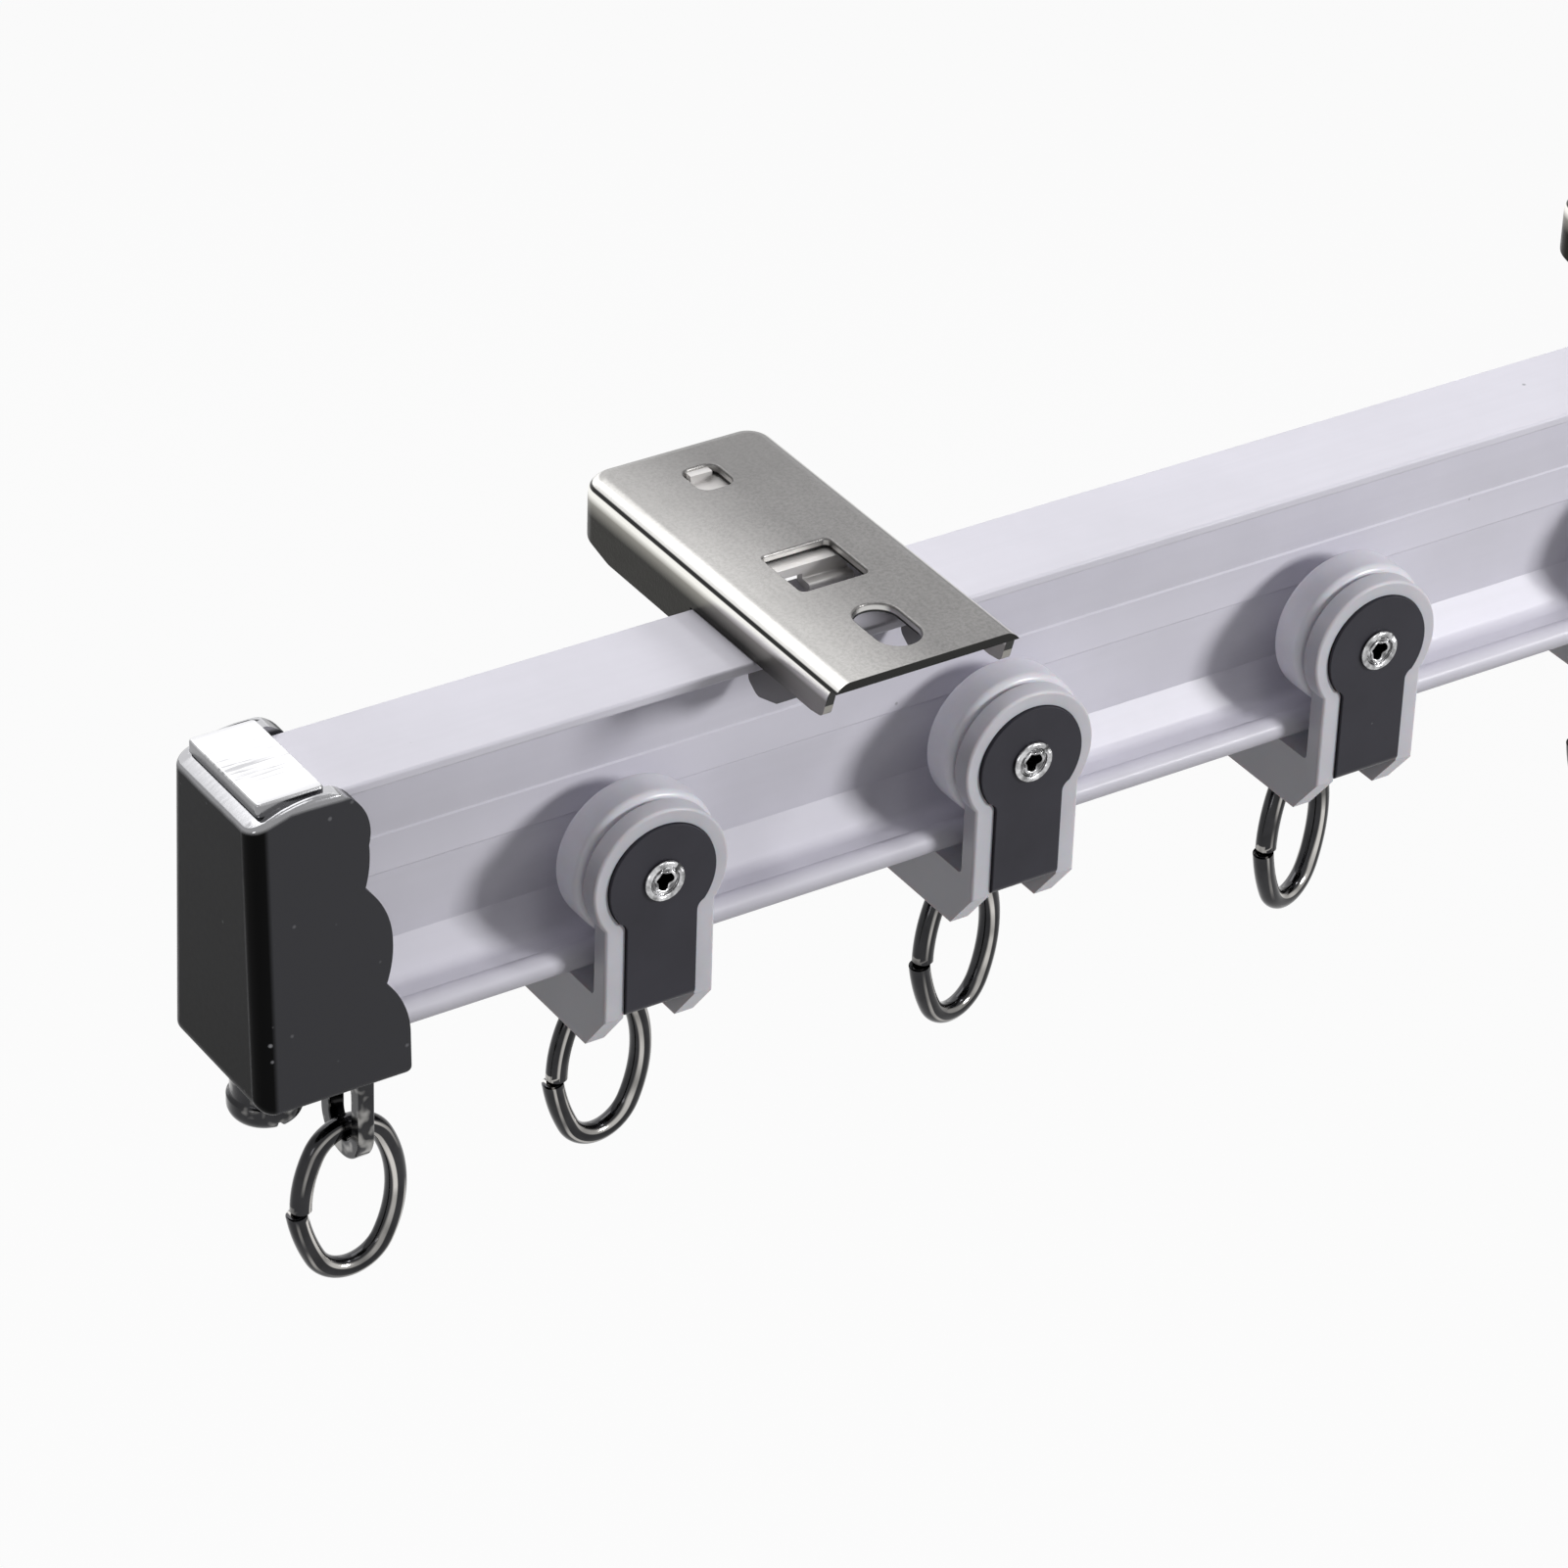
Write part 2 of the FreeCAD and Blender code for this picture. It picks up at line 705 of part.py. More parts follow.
def build_wheel(label, x, yaw):
    """A grooved nylon roller, drawn about its own axle with +Y toward its arm."""
    body = new_body(label)
    s = size
    bore = s["rivet_shank"] / 2 + s["pin_play"]
    inner = s["wheel_inner"]
    outer = s["wheel_outer"]
    rim = s["wheel_radius"]
    boss = s["rivet_head"] / 2 + 0.3
    profile = path([
        (inner, rim, 0.9),
        (outer, rim, 0.9),
        (outer, boss + 1.2),
        (outer - 0.7, boss + 0.8),
        (outer - 0.7, boss - 0.2),
        (s["arm_inner"] - s["pin_play"], boss - 0.5),
        (s["arm_inner"] - s["pin_play"], bore),
        (inner + 0.7, bore),
        (inner + 0.7, boss),
        (inner, boss),
    ], True)
    revolve(body, "YZ_Plane", profile, "H_Axis")
    place(body, x, drop=s["axle_drop"], yaw=yaw)


def build_rivet(label, x, yaw):
    """A hollow rivet: flared ring outside the strap, shank as axle, flat head in the wheel."""
    body = new_body(label)
    s = size
    bore = s["rivet_bore"] / 2
    shank = s["rivet_shank"] / 2
    ring = s["rivet_ring"] / 2
    head = s["rivet_head"] / 2
    start = s["wheel_inner"] + 0.7 - s["pin_play"]
    face = s["strap_outer"]
    profile = path([
        (start - 0.5, bore),
        (start - 0.5, head, 0.2),
        (start, head),
        (start, shank),
        (face, shank),
        (face, ring, 0.15),
        (face + 0.5, ring, 0.35),
        (face + 0.5, bore + 0.35, 0.3),
        (face + 0.1, bore),
    ], True)
    revolve(body, "YZ_Plane", profile, "H_Axis")
    place(body, x, drop=s["axle_drop"], yaw=yaw)


# Brackets

def bracket_plan(half, front, back, corner):
    return path([
        (-half, -front),
        (half, -front),
        (half, back, corner),
        (-half, back, corner),
    ], True)


def build_bracket(label, x):
    body = new_body(label)
    s = size
    half = s["bracket_half"]
    sheet_thick = s["bracket_sheet"]
    top = s["bracket_rise"]
    skirt = -s["bracket_skirt"]
    back = s["bracket_back"]
    plan = bracket_plan(half, s["bracket_front"], back, 3.2)
    pad(body, "XY_Plane", plan, "Sizes.bracket_rise + Sizes.bracket_skirt", offset=top, back=True)

    # The side walls' lower edge: over the flange, hooked under its back edge, then up at the back
    over = s["fit_gap"]
    edge = s["flange_half"] + s["fit_gap"]
    under = -s["flange_thick"] - s["fit_gap"]
    lower = path([
        (-s["bracket_front"] - past, top - sheet_thick),
        (-s["bracket_front"] + 0.9, top - sheet_thick),
        (-s["bracket_front"] + 1.9, 0.4, 0.9),
        (-s["bracket_front"] + 4.0, over),
        (edge, over),
        (edge, under),
        (s["hook_tip"], under),
        (s["hook_tip"], skirt + 0.4, 0.4),
        (s["hook_tip"] + 0.9, skirt, 0.6),
        (back - 6.5, skirt, 4.0),
        (back - 1.4, -1.9, 1.5),
        (back + 0.4, -0.2, 0.5),
        (back + past, -0.2),
        (back + past, skirt - past),
        (-s["bracket_front"] - past, skirt - past),
    ], True)
    cut(body, "YZ_Plane", lower, through, middle=True)
    soften(body, "Fillet", s["bracket_bend"], bracket_rim)
    room = bracket_plan(half - sheet_thick, s["bracket_front"] + past, back - sheet_thick, 2.2)
    cut(body, "XY_Plane", room, through, offset=top - sheet_thick)
    soften(body, "Fillet", s["bracket_bend"] - sheet_thick, bracket_inner_rim)

    # Window, ceiling screw slot and stop hole, with rounded rims
    window = s["window_wide"] / 2
    slot = s["screw_slot_wide"] / 2
    reach = s["screw_slot_long"] / 2
    stop = s["stop_hole_wide"] / 2
    middle = -s["screw_slot_at"]
    openings = [
        box_path(-window, -s["window_front"], window, s["window_back"], 0.6),
        box_path(-slot, middle - reach, slot, middle + reach, slot - 0.001),
        box_path(-stop, s["stop_hole_front"], stop, s["stop_hole_back"], 1.2),
    ]
    for opening in openings:
        cut(body, "XY_Plane", opening, through, offset=top)
    soften(body, "Fillet", 0.25, hole_rim)
    place(body, x)


def bracket_rim(edge):
    box = edge.BoundBox
    s = size
    front = box.YMax < -s["bracket_front"] + 0.01
    return flat_at(edge, s["bracket_rise"]) and not front


def bracket_inner_rim(edge):
    box = edge.BoundBox
    s = size
    inner = s["bracket_half"] - s["bracket_sheet"]
    ceiling = flat_at(edge, s["bracket_rise"] - s["bracket_sheet"])
    side = box.XMax > inner - 2.5 or box.XMin < -inner + 2.5
    back = box.YMin > s["bracket_back"] - s["bracket_sheet"] - 2.5
    front = box.YMax < -s["bracket_front"] + 0.01
    within = abs(box.XMax) < inner + 0.01 and abs(box.XMin) < inner + 0.01
    return ceiling and (side or back) and not front and within


def hole_rim(edge):
    box = edge.BoundBox
    s = size
    inside = abs(box.XMin) < s["window_wide"] / 2 + 0.1 and abs(box.XMax) < s["window_wide"] / 2 + 0.1
    within = box.YMin > -s["bracket_front"] + 1 and box.YMax < s["stop_hole_back"] + 0.1
    return flat_at(edge, s["bracket_rise"]) and inside and within


def build_latch(label, x):
    """A sheet slider: two hooked ears under the flange's front edge, a tab and a stop lug."""
    body = new_body(label)
    s = size
    half = s["latch_half"]
    thick = s["latch_sheet"]
    top = s["latch_top"]
    back = s["stop_hole_back"] - s["pin_play"]
    front = -s["latch_front"]
    low = -s["latch_drop"]
    reach = -s["latch_reach"]
    plan = box_path(-half, front, half, back)
    pad(body, "XY_Plane", plan, top - low, offset=top, back=True)
    edge = -s["flange_half"] - 0.3
    under = -s["flange_thick"] - 0.3
    lower = path([
        (front - past, -0.1),
        (front + 1.8, -0.7, 1.0),
        (edge - 1.75, low + 1.0, 1.5),
        (edge + 1.8, low, 1.4),
        (reach - 0.2, low + 1.1, 0.9),
        (reach, under, 0.5),
        (edge, under, 0.3),
        (edge, 0.5, 0.3),
        (s["flange_half"] + 1, 0.5),
        (s["flange_half"] + 3, top - thick, 0.5),
        (back + past, top - thick),
        (back + past, low - past),
        (front - past, low - past),
    ], True)
    cut(body, "YZ_Plane", lower, through, middle=True)
    soften(body, "Fillet", 0.8, latch_rim)
    room = box_path(-half + thick, front - past, half - thick, back + past)
    cut(body, "XY_Plane", room, through, offset=top - thick)
    slot = box_path(-s["latch_slot_half"], front - past, s["latch_slot_half"], s["latch_slot_end"])
    cut(body, "XY_Plane", slot, through, offset=top)

    # Thumb tab, bent down at the slot's end, and the stop lug that stands in the bracket's hole
    end = s["latch_slot_end"]
    tab = path([
        (end + thick, top - thick + 0.2),
        (end, top - thick + 0.2),
        (end, 2.0, 0.2),
        (end - 1.4, 2.0, 0.3),
        (end - 1.4, 1.1, 0.3),
        (end + thick, 1.1, 0.8),
    ], True)
    pad(body, "YZ_Plane", tab, "Sizes.tab_wide")
    lug = box_path(-1.3, back - thick, 1.3, back)
    pad(body, "XY_Plane", lug, "Sizes.bracket_rise - Sizes.latch_top - 0.3", offset=top)
    place(body, x)


def latch_rim(edge):
    box = edge.BoundBox
    side = abs(abs(box.XMin) - size["latch_half"]) < 0.01 and box.XLength < 0.01
    return flat_at(edge, size["latch_top"]) and side


# Everything in its place

def build_all():
    build_rail()
    for label, x, yaw in (("left", -end_x, 0), ("right", end_x, 180)):
        build_cap(f"end_cap_{label}", x, yaw)
        inward = 1 if yaw == 0 else -1
        screw_x = x + inward * size["screw_from_end"]
        eye_x = x + inward * size["cap_eye_from_end"]
        build_clamp_screw(f"clamp_screw_{label}", screw_x, yaw)
        cap_shelf = size["cap_floor"] + size["stud_head_high"] + size["fit_gap"]
        build_eye(f"cap_eye_{label}", eye_x, yaw, cap_shelf, size["cap_foot"] + size["pin_play"],
                  "cap_eye", cap_eye_end, size["cap_foot"] + size["cap_eye_neck"])
        build_ring(f"cap_ring_{label}", eye_x, yaw, cap_apex)
    for label, x in (("left", -bracket_x), ("right", bracket_x)):
        build_bracket(f"bracket_{label}", x)
        build_latch(f"latch_{label}", x)
    strap_end = size["yoke_floor_end"] + size["strap_thick"]
    for number, (x, yaw) in enumerate(zip(runner_xs, runner_yaws), start=1):
        name = f"runner_{number}"
        build_yoke(f"{name}_yoke", x)
        build_strap(f"{name}_strap", x)
        for side, turn in (("front", 180), ("back", 0)):
            build_wheel(f"{name}_wheel_{side}", x, turn)
            build_rivet(f"{name}_rivet_{side}", x, turn)
        build_eye(f"{name}_eye", x, yaw, size["yoke_floor_top"] - size["pin_play"],
                  strap_end + size["pin_play"], "runner_eye", runner_eye_end, None)
        build_ring(f"{name}_ring", x, yaw, runner_apex)


build_all()
doc.recompute()

for item in doc.Objects:
    if "Invalid" in item.State or "Error" in item.State:
        raise RuntimeError(f"{item.Name} failed: {item.State}")

os.makedirs("parts", exist_ok=True)
for item in sub_parts:
    shape = item.Shape
    if shape.isNull() or not shape.isValid() or len(shape.Solids) != 1:
        raise RuntimeError(f"{item.Label} is not one valid solid")
    shape.exportStep(f"parts/{item.Label}.step")
print(len(sub_parts), "pieces written")
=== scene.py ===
import json
import math

import bmesh
import bpy
from bpy.props import FloatProperty, FloatVectorProperty, IntProperty, PointerProperty
from mathutils import Matrix, Vector
from mathutils.kdtree import KDTree


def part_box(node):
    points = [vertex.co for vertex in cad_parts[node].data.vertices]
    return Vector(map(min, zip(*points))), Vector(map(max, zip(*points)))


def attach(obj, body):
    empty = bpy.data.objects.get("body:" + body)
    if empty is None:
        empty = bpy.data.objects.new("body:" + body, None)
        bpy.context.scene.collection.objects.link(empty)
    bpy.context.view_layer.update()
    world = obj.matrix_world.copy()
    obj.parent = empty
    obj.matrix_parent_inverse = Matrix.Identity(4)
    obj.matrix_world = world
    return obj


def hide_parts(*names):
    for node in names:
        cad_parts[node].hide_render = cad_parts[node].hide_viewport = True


bl_info = {
    "name": "Room divider track",
    "version": (1, 0, 0),
    "blender": (4, 5, 0),
    "location": "3D View > Sidebar > Track",
    "description": "Finishes and fine detail of a ceiling track for a room divider",
    "category": "Object",
}

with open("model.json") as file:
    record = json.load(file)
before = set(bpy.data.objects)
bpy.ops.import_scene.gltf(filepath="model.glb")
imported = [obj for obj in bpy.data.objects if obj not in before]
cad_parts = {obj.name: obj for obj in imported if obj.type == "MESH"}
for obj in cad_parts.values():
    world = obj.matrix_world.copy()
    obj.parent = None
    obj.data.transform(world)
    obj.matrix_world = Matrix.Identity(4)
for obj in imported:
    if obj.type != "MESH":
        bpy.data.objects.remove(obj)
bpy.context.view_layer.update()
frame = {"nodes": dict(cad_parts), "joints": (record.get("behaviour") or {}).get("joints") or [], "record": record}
MM = 0.001
ENDS = ("left", "right")
SIDES = ("front", "back")
RUNNERS = range(1, 1 + sum(node.endswith("_yoke") for node in frame["nodes"]))


# Sizes and colours that a user would change

def length(name, description, default):
    return FloatProperty(name=name, description=description, default=default * MM,
                         unit="LENGTH", precision=5)


def colour(name, description, default):
    return FloatVectorProperty(name=name, description=description, default=default,
                               subtype="COLOR", size=3, min=0.0, max=1.0)


class TrackSizes(bpy.types.PropertyGroup):
    ring_wide: length("Ring width", "Outer width of the oval rings", 13.2)
    ring_high: length("Ring height", "Outer height of the oval rings", 19.8)
    ring_wire: length("Ring wire", "Thickness of the rings' wire", 2.3)
    ring_end_curve: length("Ring end curve", "Radius of the rings' round ends", 4.4)
    ring_step: length("Ring step", "How far one end of the wire stands proud", 0.5)
    edge: length("Edge break", "Width of the softened edges on pressed and moulded pieces", 0.12)
    ring_sides: IntProperty(name="Wire facets", description="Facets round the rings' wire",
                            default=32, min=8, max=64)
    ring_steps: IntProperty(name="Ring steps", description="Points along a ring's wire",
                            default=144, min=24, max=400)
    turned_steps: IntProperty(name="Turned steps", description="Facets round turned pieces",
                              default=96, min=24, max=256)


class TrackColours(bpy.types.PropertyGroup):
    rail: colour("Rail", "Powder coat of the rail", (0.715, 0.7, 0.775))
    cap: colour("End cap", "Black of the end caps", (0.03, 0.03, 0.033))
    plating: colour("Black plating", "Black plating of rings, eyes and screws",
                    (0.035, 0.035, 0.037))
    nickel: colour("Nickel", "Satin nickel of the brackets", (0.36, 0.35, 0.345))
    nylon: colour("Nylon", "Milky nylon of wheels and yokes", (0.66, 0.655, 0.71))
    strap: colour("Strap", "Dark grey of the runners' straps", (0.032, 0.031, 0.04))
    rivet: colour("Rivet", "Bright metal of the hollow rivets", (0.62, 0.62, 0.63))
    floor: colour("Floor", "Pale floor", (0.65, 0.65, 0.65))


def sizes():
    return bpy.context.scene.track_sizes


def colours():
    return bpy.context.scene.track_colours


# Tones that dust and worn plating add to the finishes, and tones of painted highlights, painted reflections and
# painted shade

LIGHT_DUST = (0.4, 0.4, 0.42)
STRAP_DUST = (0.25, 0.25, 0.27)
PAINTED_HIGHLIGHT_CAP = (0.3, 0.3, 0.31)
WORN_PAD_SIDE = (0.28, 0.28, 0.29)
WORN_PAD = (0.62, 0.62, 0.63)
PAD_LINE = (0.25, 0.25, 0.26)
PAINTED_HIGHLIGHT_STEEL = (0.5, 0.49, 0.47)
PAINTED_HIGHLIGHT_WIRE = (0.62, 0.6, 0.57)
PAINTED_LIGHT_NICKEL = (0.78, 0.77, 0.74)
PAINTED_HIGHLIGHT_BEND = (0.86, 0.85, 0.83)
WALL_TOP_PAINTED_HIGHLIGHT = (1.0, 0.99, 0.94)
WALL_UPPER_PAINTED_REFLECTION = (0.3, 0.29, 0.26)
WALL_FRONT_PAINTED_REFLECTION = (0.28, 0.27, 0.25)
WALL_BACK_PAINTED_SHADE = (0.012, 0.011, 0.008)
PAINTED_SHADE_LINE = (0.03, 0.03, 0.03)
PAINTED_SHADE_CUT_FACE = (0.03, 0.03, 0.029)
WHITE = (1.0, 1.0, 1.0)


# Shader maths

# The Mix node gives several sockets the same name, so the ones for colours go by number
MIX_FACTOR = 0
MIX_FIRST = 6
MIX_SECOND = 7
MIX_RESULT = 2


def tone(base, factor):
    return tuple(min(1.0, part * factor) for part in base)


def opaque(shade):
    """A colour with its alpha, as a colour socket takes it; a term stays as it is."""
    return shade if isinstance(shade, Term) else (*shade, 1.0)


class Term:
    """A socket that adds Math nodes when it is used in a sum."""

    def __init__(self, sheet, socket):
        self.sheet = sheet
        self.socket = socket

    def math(self, operation, *others):
        values = dict(enumerate((self, *others)))
        return self.sheet.node("ShaderNodeMath", {"operation": operation}, values).out(0)

    def __add__(self, other):
        return self.math("ADD", other)

    __radd__ = __add__

    def __sub__(self, other):
        return self.math("SUBTRACT", other)

    def __rsub__(self, other):
        return (self * -1.0) + other

    def __mul__(self, other):
        return self.math("MULTIPLY", other)

    __rmul__ = __mul__

    def __gt__(self, other):
        return self.math("GREATER_THAN", other)

    def __lt__(self, other):
        return self.math("LESS_THAN", other)

    def size(self):
        return self.math("ABSOLUTE")

    def clamped(self, low, high):
        """Runs from 0 where the term is low to 1 where it is high."""
        values = {"Value": self, "From Min": low, "From Max": high}
        return self.sheet.node("ShaderNodeMapRange", {"clamp": True}, values).out("Result")

    def between(self, start, full, fade, stop):
        """1 where the term is between full and fade, running out to 0 at start and at stop."""
        return self.clamped(start, full) - self.clamped(fade, stop)


class Made:
    """A node just made, with its outputs as terms."""

    def __init__(self, sheet, node):
        self.sheet = sheet
        self.node = node

    def out(self, key):
        return Term(self.sheet, self.node.outputs[key])


class Sheet:
    """A node tree, of a material, of the world or of a piece's shape."""

    def __init__(self, tree):
        self.tree = tree

    def node(self, kind, settings=None, values=None):
        made = self.tree.nodes.new(kind)
        for key, value in (settings or {}).items():
            setattr(made, key, value)
        for key, value in (values or {}).items():
            self.set(made.inputs[key], value)
        return Made(self, made)

    def set(self, socket, value):
        if isinstance(value, Term):
            self.tree.links.new(value.socket, socket)
        else:
            socket.default_value = value


class Finish(Sheet):
    """A material on a Principled shader that reads Object coordinates."""

    def __init__(self, name, base, metallic=0.0, roughness=0.5, **constants):
        self.material = bpy.data.materials.new(name)
        self.material.use_nodes = True
        super().__init__(self.material.node_tree)
        self.shader = self.tree.nodes["Principled BSDF"]
        self.feed("Base Color", opaque(base))
        self.feed("Metallic", metallic)
        self.feed("Roughness", roughness)
        for key, value in constants.items():
            self.feed(key.replace("_", " "), value)
        self.place = self.node("ShaderNodeTexCoord").out("Object")

    def feed(self, key, value):
        self.set(self.shader.inputs[key], value)

    def stretched(self, x, y, z):
        """The place with each axis scaled, for a grain that runs one way."""
        values = {"Vector": self.place, "Scale": (x, y, z)}
        return self.node("ShaderNodeMapping", None, values).out("Vector")

    def split(self, vector):
        parts = self.node("ShaderNodeSeparateXYZ", None, {"Vector": vector})
        return [parts.out(index) for index in range(3)]

    def axes(self):
        """The place as three numbers."""
        return self.split(self.place)

    def facing(self):
        """The way that the surface faces, as three numbers from -1 to 1."""
        return self.split(self.node("ShaderNodeTexCoord").out("Normal"))

    def noise(self, scale, detail=3.0, rough=0.55, place=None):
        values = {"Vector": place or self.place, "Scale": scale, "Detail": detail,
                  "Roughness": rough}
        return self.node("ShaderNodeTexNoise", None, values).out("Fac")

    def specks(self, scale, size, share, core=0.4):
        """1 on small scattered specks, fading from their core outward to 0 between them."""
        values = {"Vector": self.place, "Scale": scale}
        cells = self.node("ShaderNodeTexVoronoi", None, values)
        pick = self.node("ShaderNodeSeparateColor", None, {"Color": cells.out("Color")})
        near = 1.0 - cells.out("Distance").clamped(size * core, size)
        return near * (pick.out("Red") < share)

    def mix(self, factor, first, second):
        """The first colour where factor is 0, the second where it is 1."""
        values = {MIX_FACTOR: factor, MIX_FIRST: opaque(first), MIX_SECOND: opaque(second)}
        return self.node("ShaderNodeMix", {"data_type": "RGBA"}, values).out(MIX_RESULT)

    def bump(self, height, depth, strength):
        values = {"Height": height, "Distance": depth, "Strength": strength}
        self.feed("Normal", self.node("ShaderNodeBump", None, values).out("Normal"))


# Finishes

def rail_finish():
    """Satin powder coat with fine orange peel, drawing lines along the rail and a few specks, with a painted
    lighter band on the web and painted shade under the bead.
    """
    base = tuple(colours().rail)
    finish = Finish("rail_powder_coat", base, roughness=0.45, Specular_IOR_Level=0.3,
                    Coat_Weight=0.06, Coat_Roughness=0.1)
    z = finish.axes()[2]
    cloud = finish.noise(60.0, 4.0)
    lines = finish.noise(1.0, 4.0, 0.6, finish.stretched(12.0, 900.0, 900.0))
    peel = finish.noise(2600.0, 2.0)
    dust = finish.specks(260.0, 0.075, 0.2)

    # Painted light: a lighter band on the web, where its raised band catches the light
    band_foot = -19.5 * MM
    band_head = -14.9 * MM
    soft = 0.3 * MM
    painted_light_band = z.between(band_foot - soft, band_foot + soft, band_head - soft, band_head + soft)
    # Painted shade: the bead darker on its lower side
    bead_foot = -33.4 * MM
    bead_side = -31.7 * MM
    painted_shade_under_bead = 1.0 - z.clamped(bead_foot, bead_side)

    shade = finish.mix(cloud.clamped(0.35, 0.7), tone(base, 0.95), tone(base, 1.03))
    shade = finish.mix(lines.clamped(0.4, 0.75) * 0.2, shade, tone(base, 0.88))
    shade = finish.mix(painted_light_band * 0.5, shade, tone(base, 1.08))
    shade = finish.mix(painted_shade_under_bead * 0.6, shade, tone(base, 0.5))
    shade = finish.mix(dust * 0.8, shade, tone(base, 0.35))
    finish.feed("Base Color", shade)
    finish.feed("Roughness", cloud.clamped(0.2, 0.8) * 0.12 + 0.4)
    finish.bump(peel * 0.6 + lines * 0.4, 0.02 * MM, 0.3)
    return finish.material


def cap_finish():
    """Black casting: dull faces, with painted light on the sides and painted shade on the end face, glossy corners
    in a painted dark reflection with a painted highlight beside them, and worn bright plating round the top.
    """
    base = tuple(colours().cap)
    finish = Finish("cap_black", base, roughness=0.42, Specular_IOR_Level=0.05)
    x, y, z = finish.axes()
    cloud = finish.noise(90.0, 5.0)
    grain = finish.noise(1500.0, 3.0)
    lines = finish.noise(1.0, 3.0, 0.6, finish.stretched(160.0, 2200.0, 900.0))
    dust = finish.specks(420.0, 0.12, 0.5)

    # Depth in from the end face, and across from a line that lies a corner's width in
    low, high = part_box("end_cap_left")
    inward = (x.size() * -1.0) - low.x
    top_half = 8.1 * MM
    taper = 1.4 * MM
    corner_wide = 2.0 * MM
    half = (z * -1.0 + high.z).clamped(0.0, high.z - low.z) * taper + top_half
    side = y.size() - half + corner_wide

    # Painted reflection: the rounded corners near black, as a glossy black edge looks; their roughness is lowered
    # too
    corner_fade = 0.5 * MM
    corner = (inward * -1.0 + corner_wide).clamped(0.0, corner_fade)
    corner = corner * side.clamped(0.0, corner_fade)
    # Painted light: the side faces lighter than the end face
    flank = side.clamped(1.5 * MM, 1.9 * MM)
    # Painted shade: the end face darker, more so towards its bottom
    end_deep = 0.5 * MM
    end = 1.0 - inward.clamped(0.2 * MM, end_deep)
    downward = (z * -1.0).clamped(-10.0 * MM, 35.0 * MM)
    # Painted highlight: a light line on the end face beside each rounded corner
    painted_highlight = side.between(-0.1 * MM, 0.1 * MM, 0.15 * MM, 0.35 * MM)
    painted_highlight = painted_highlight * (inward < end_deep) * cloud.clamped(0.3, 0.6)

    # The plating is worn bright above a wandering rim, and lined on the pad at the very top
    rim_run = 4.5 * MM
    rim_rise = 1.35 * MM
    rim_wander = 0.5 * MM
    rim = z - inward.clamped(0.0, rim_run) * rim_rise + cloud * rim_wander
    bright = rim.clamped(-5.75 * MM, -5.35 * MM)
    pad = z.clamped(high.z - 0.25 * MM, high.z - 0.1 * MM)
    pad_middle = 1.0 - y.size().clamped(1.5 * MM, 4.5 * MM)
    pad_edge = 1.0 - y.size().clamped(5.2 * MM, 6.8 * MM) * 0.6
    worn = finish.mix(pad * pad_edge, WORN_PAD_SIDE, WORN_PAD)
    worn = finish.mix(lines.clamped(0.46, 0.64) * (pad_middle * 0.6 + 0.2), worn, PAD_LINE)

    shade = finish.mix(cloud.clamped(0.3, 0.75), tone(base, 0.85), tone(base, 1.3))
    shade = finish.mix(flank, shade, tone(base, 1.8))
    shade = finish.mix(end * downward, shade, tone(base, 0.1))
    shade = finish.mix(corner, shade, tone(base, 0.08))
    shade = finish.mix(painted_highlight * 0.5, shade, PAINTED_HIGHLIGHT_CAP)
    shade = finish.mix(dust * (corner * 0.5 + 0.3), shade, LIGHT_DUST)
    finish.feed("Base Color", finish.mix(bright, shade, worn))
    finish.feed("Metallic", bright)
    finish.feed("Roughness", grain * 0.08 + 0.36 - corner * 0.26 - bright * 0.24)
    finish.bump(grain * 0.5 + lines * bright * 0.5, 0.02 * MM, 0.3)
    return finish.material


def plating_finish(name, wire):
    """Black nickel, with painted highlights: lighter streaks along wire and lighter patches on turned steel."""
    base = tuple(colours().plating)
    finish = Finish(name, base, metallic=1.0, roughness=0.12)
    cloud = finish.noise(260.0, 3.0)
    grain = finish.noise(2400.0, 3.0)
    shade = finish.mix(cloud.clamped(0.3, 0.7), tone(base, 0.75), tone(base, 1.3))
    if wire:
        # Painted highlights: lighter streaks along the inner and outer sides of the wire
        inward = finish.node("ShaderNodeAttribute", {"attribute_name": "inward"}).out("Fac")
        patch = finish.noise(130.0, 2.0)
        inner = inward.between(0.28, 0.36, 0.6, 0.72) * (patch.clamped(0.38, 0.6) * 0.8 + 0.2)
        outer = inward.between(-0.62, -0.52, -0.4, -0.34) * (1.0 - patch.clamped(0.4, 0.6))
        shade = finish.mix(inner + outer * 0.7, shade, PAINTED_HIGHLIGHT_WIRE)
    else:
        # Painted highlights: lighter patches on the screws and eyes
        painted_highlight = finish.noise(380.0, 2.0).clamped(0.52, 0.64)
        shade = finish.mix(painted_highlight * 0.55, shade, PAINTED_HIGHLIGHT_STEEL)
    finish.feed("Base Color", shade)
    finish.feed("Roughness", grain * 0.08 + 0.1)
    finish.bump(grain, 0.01 * MM, 0.2)
    return finish.material


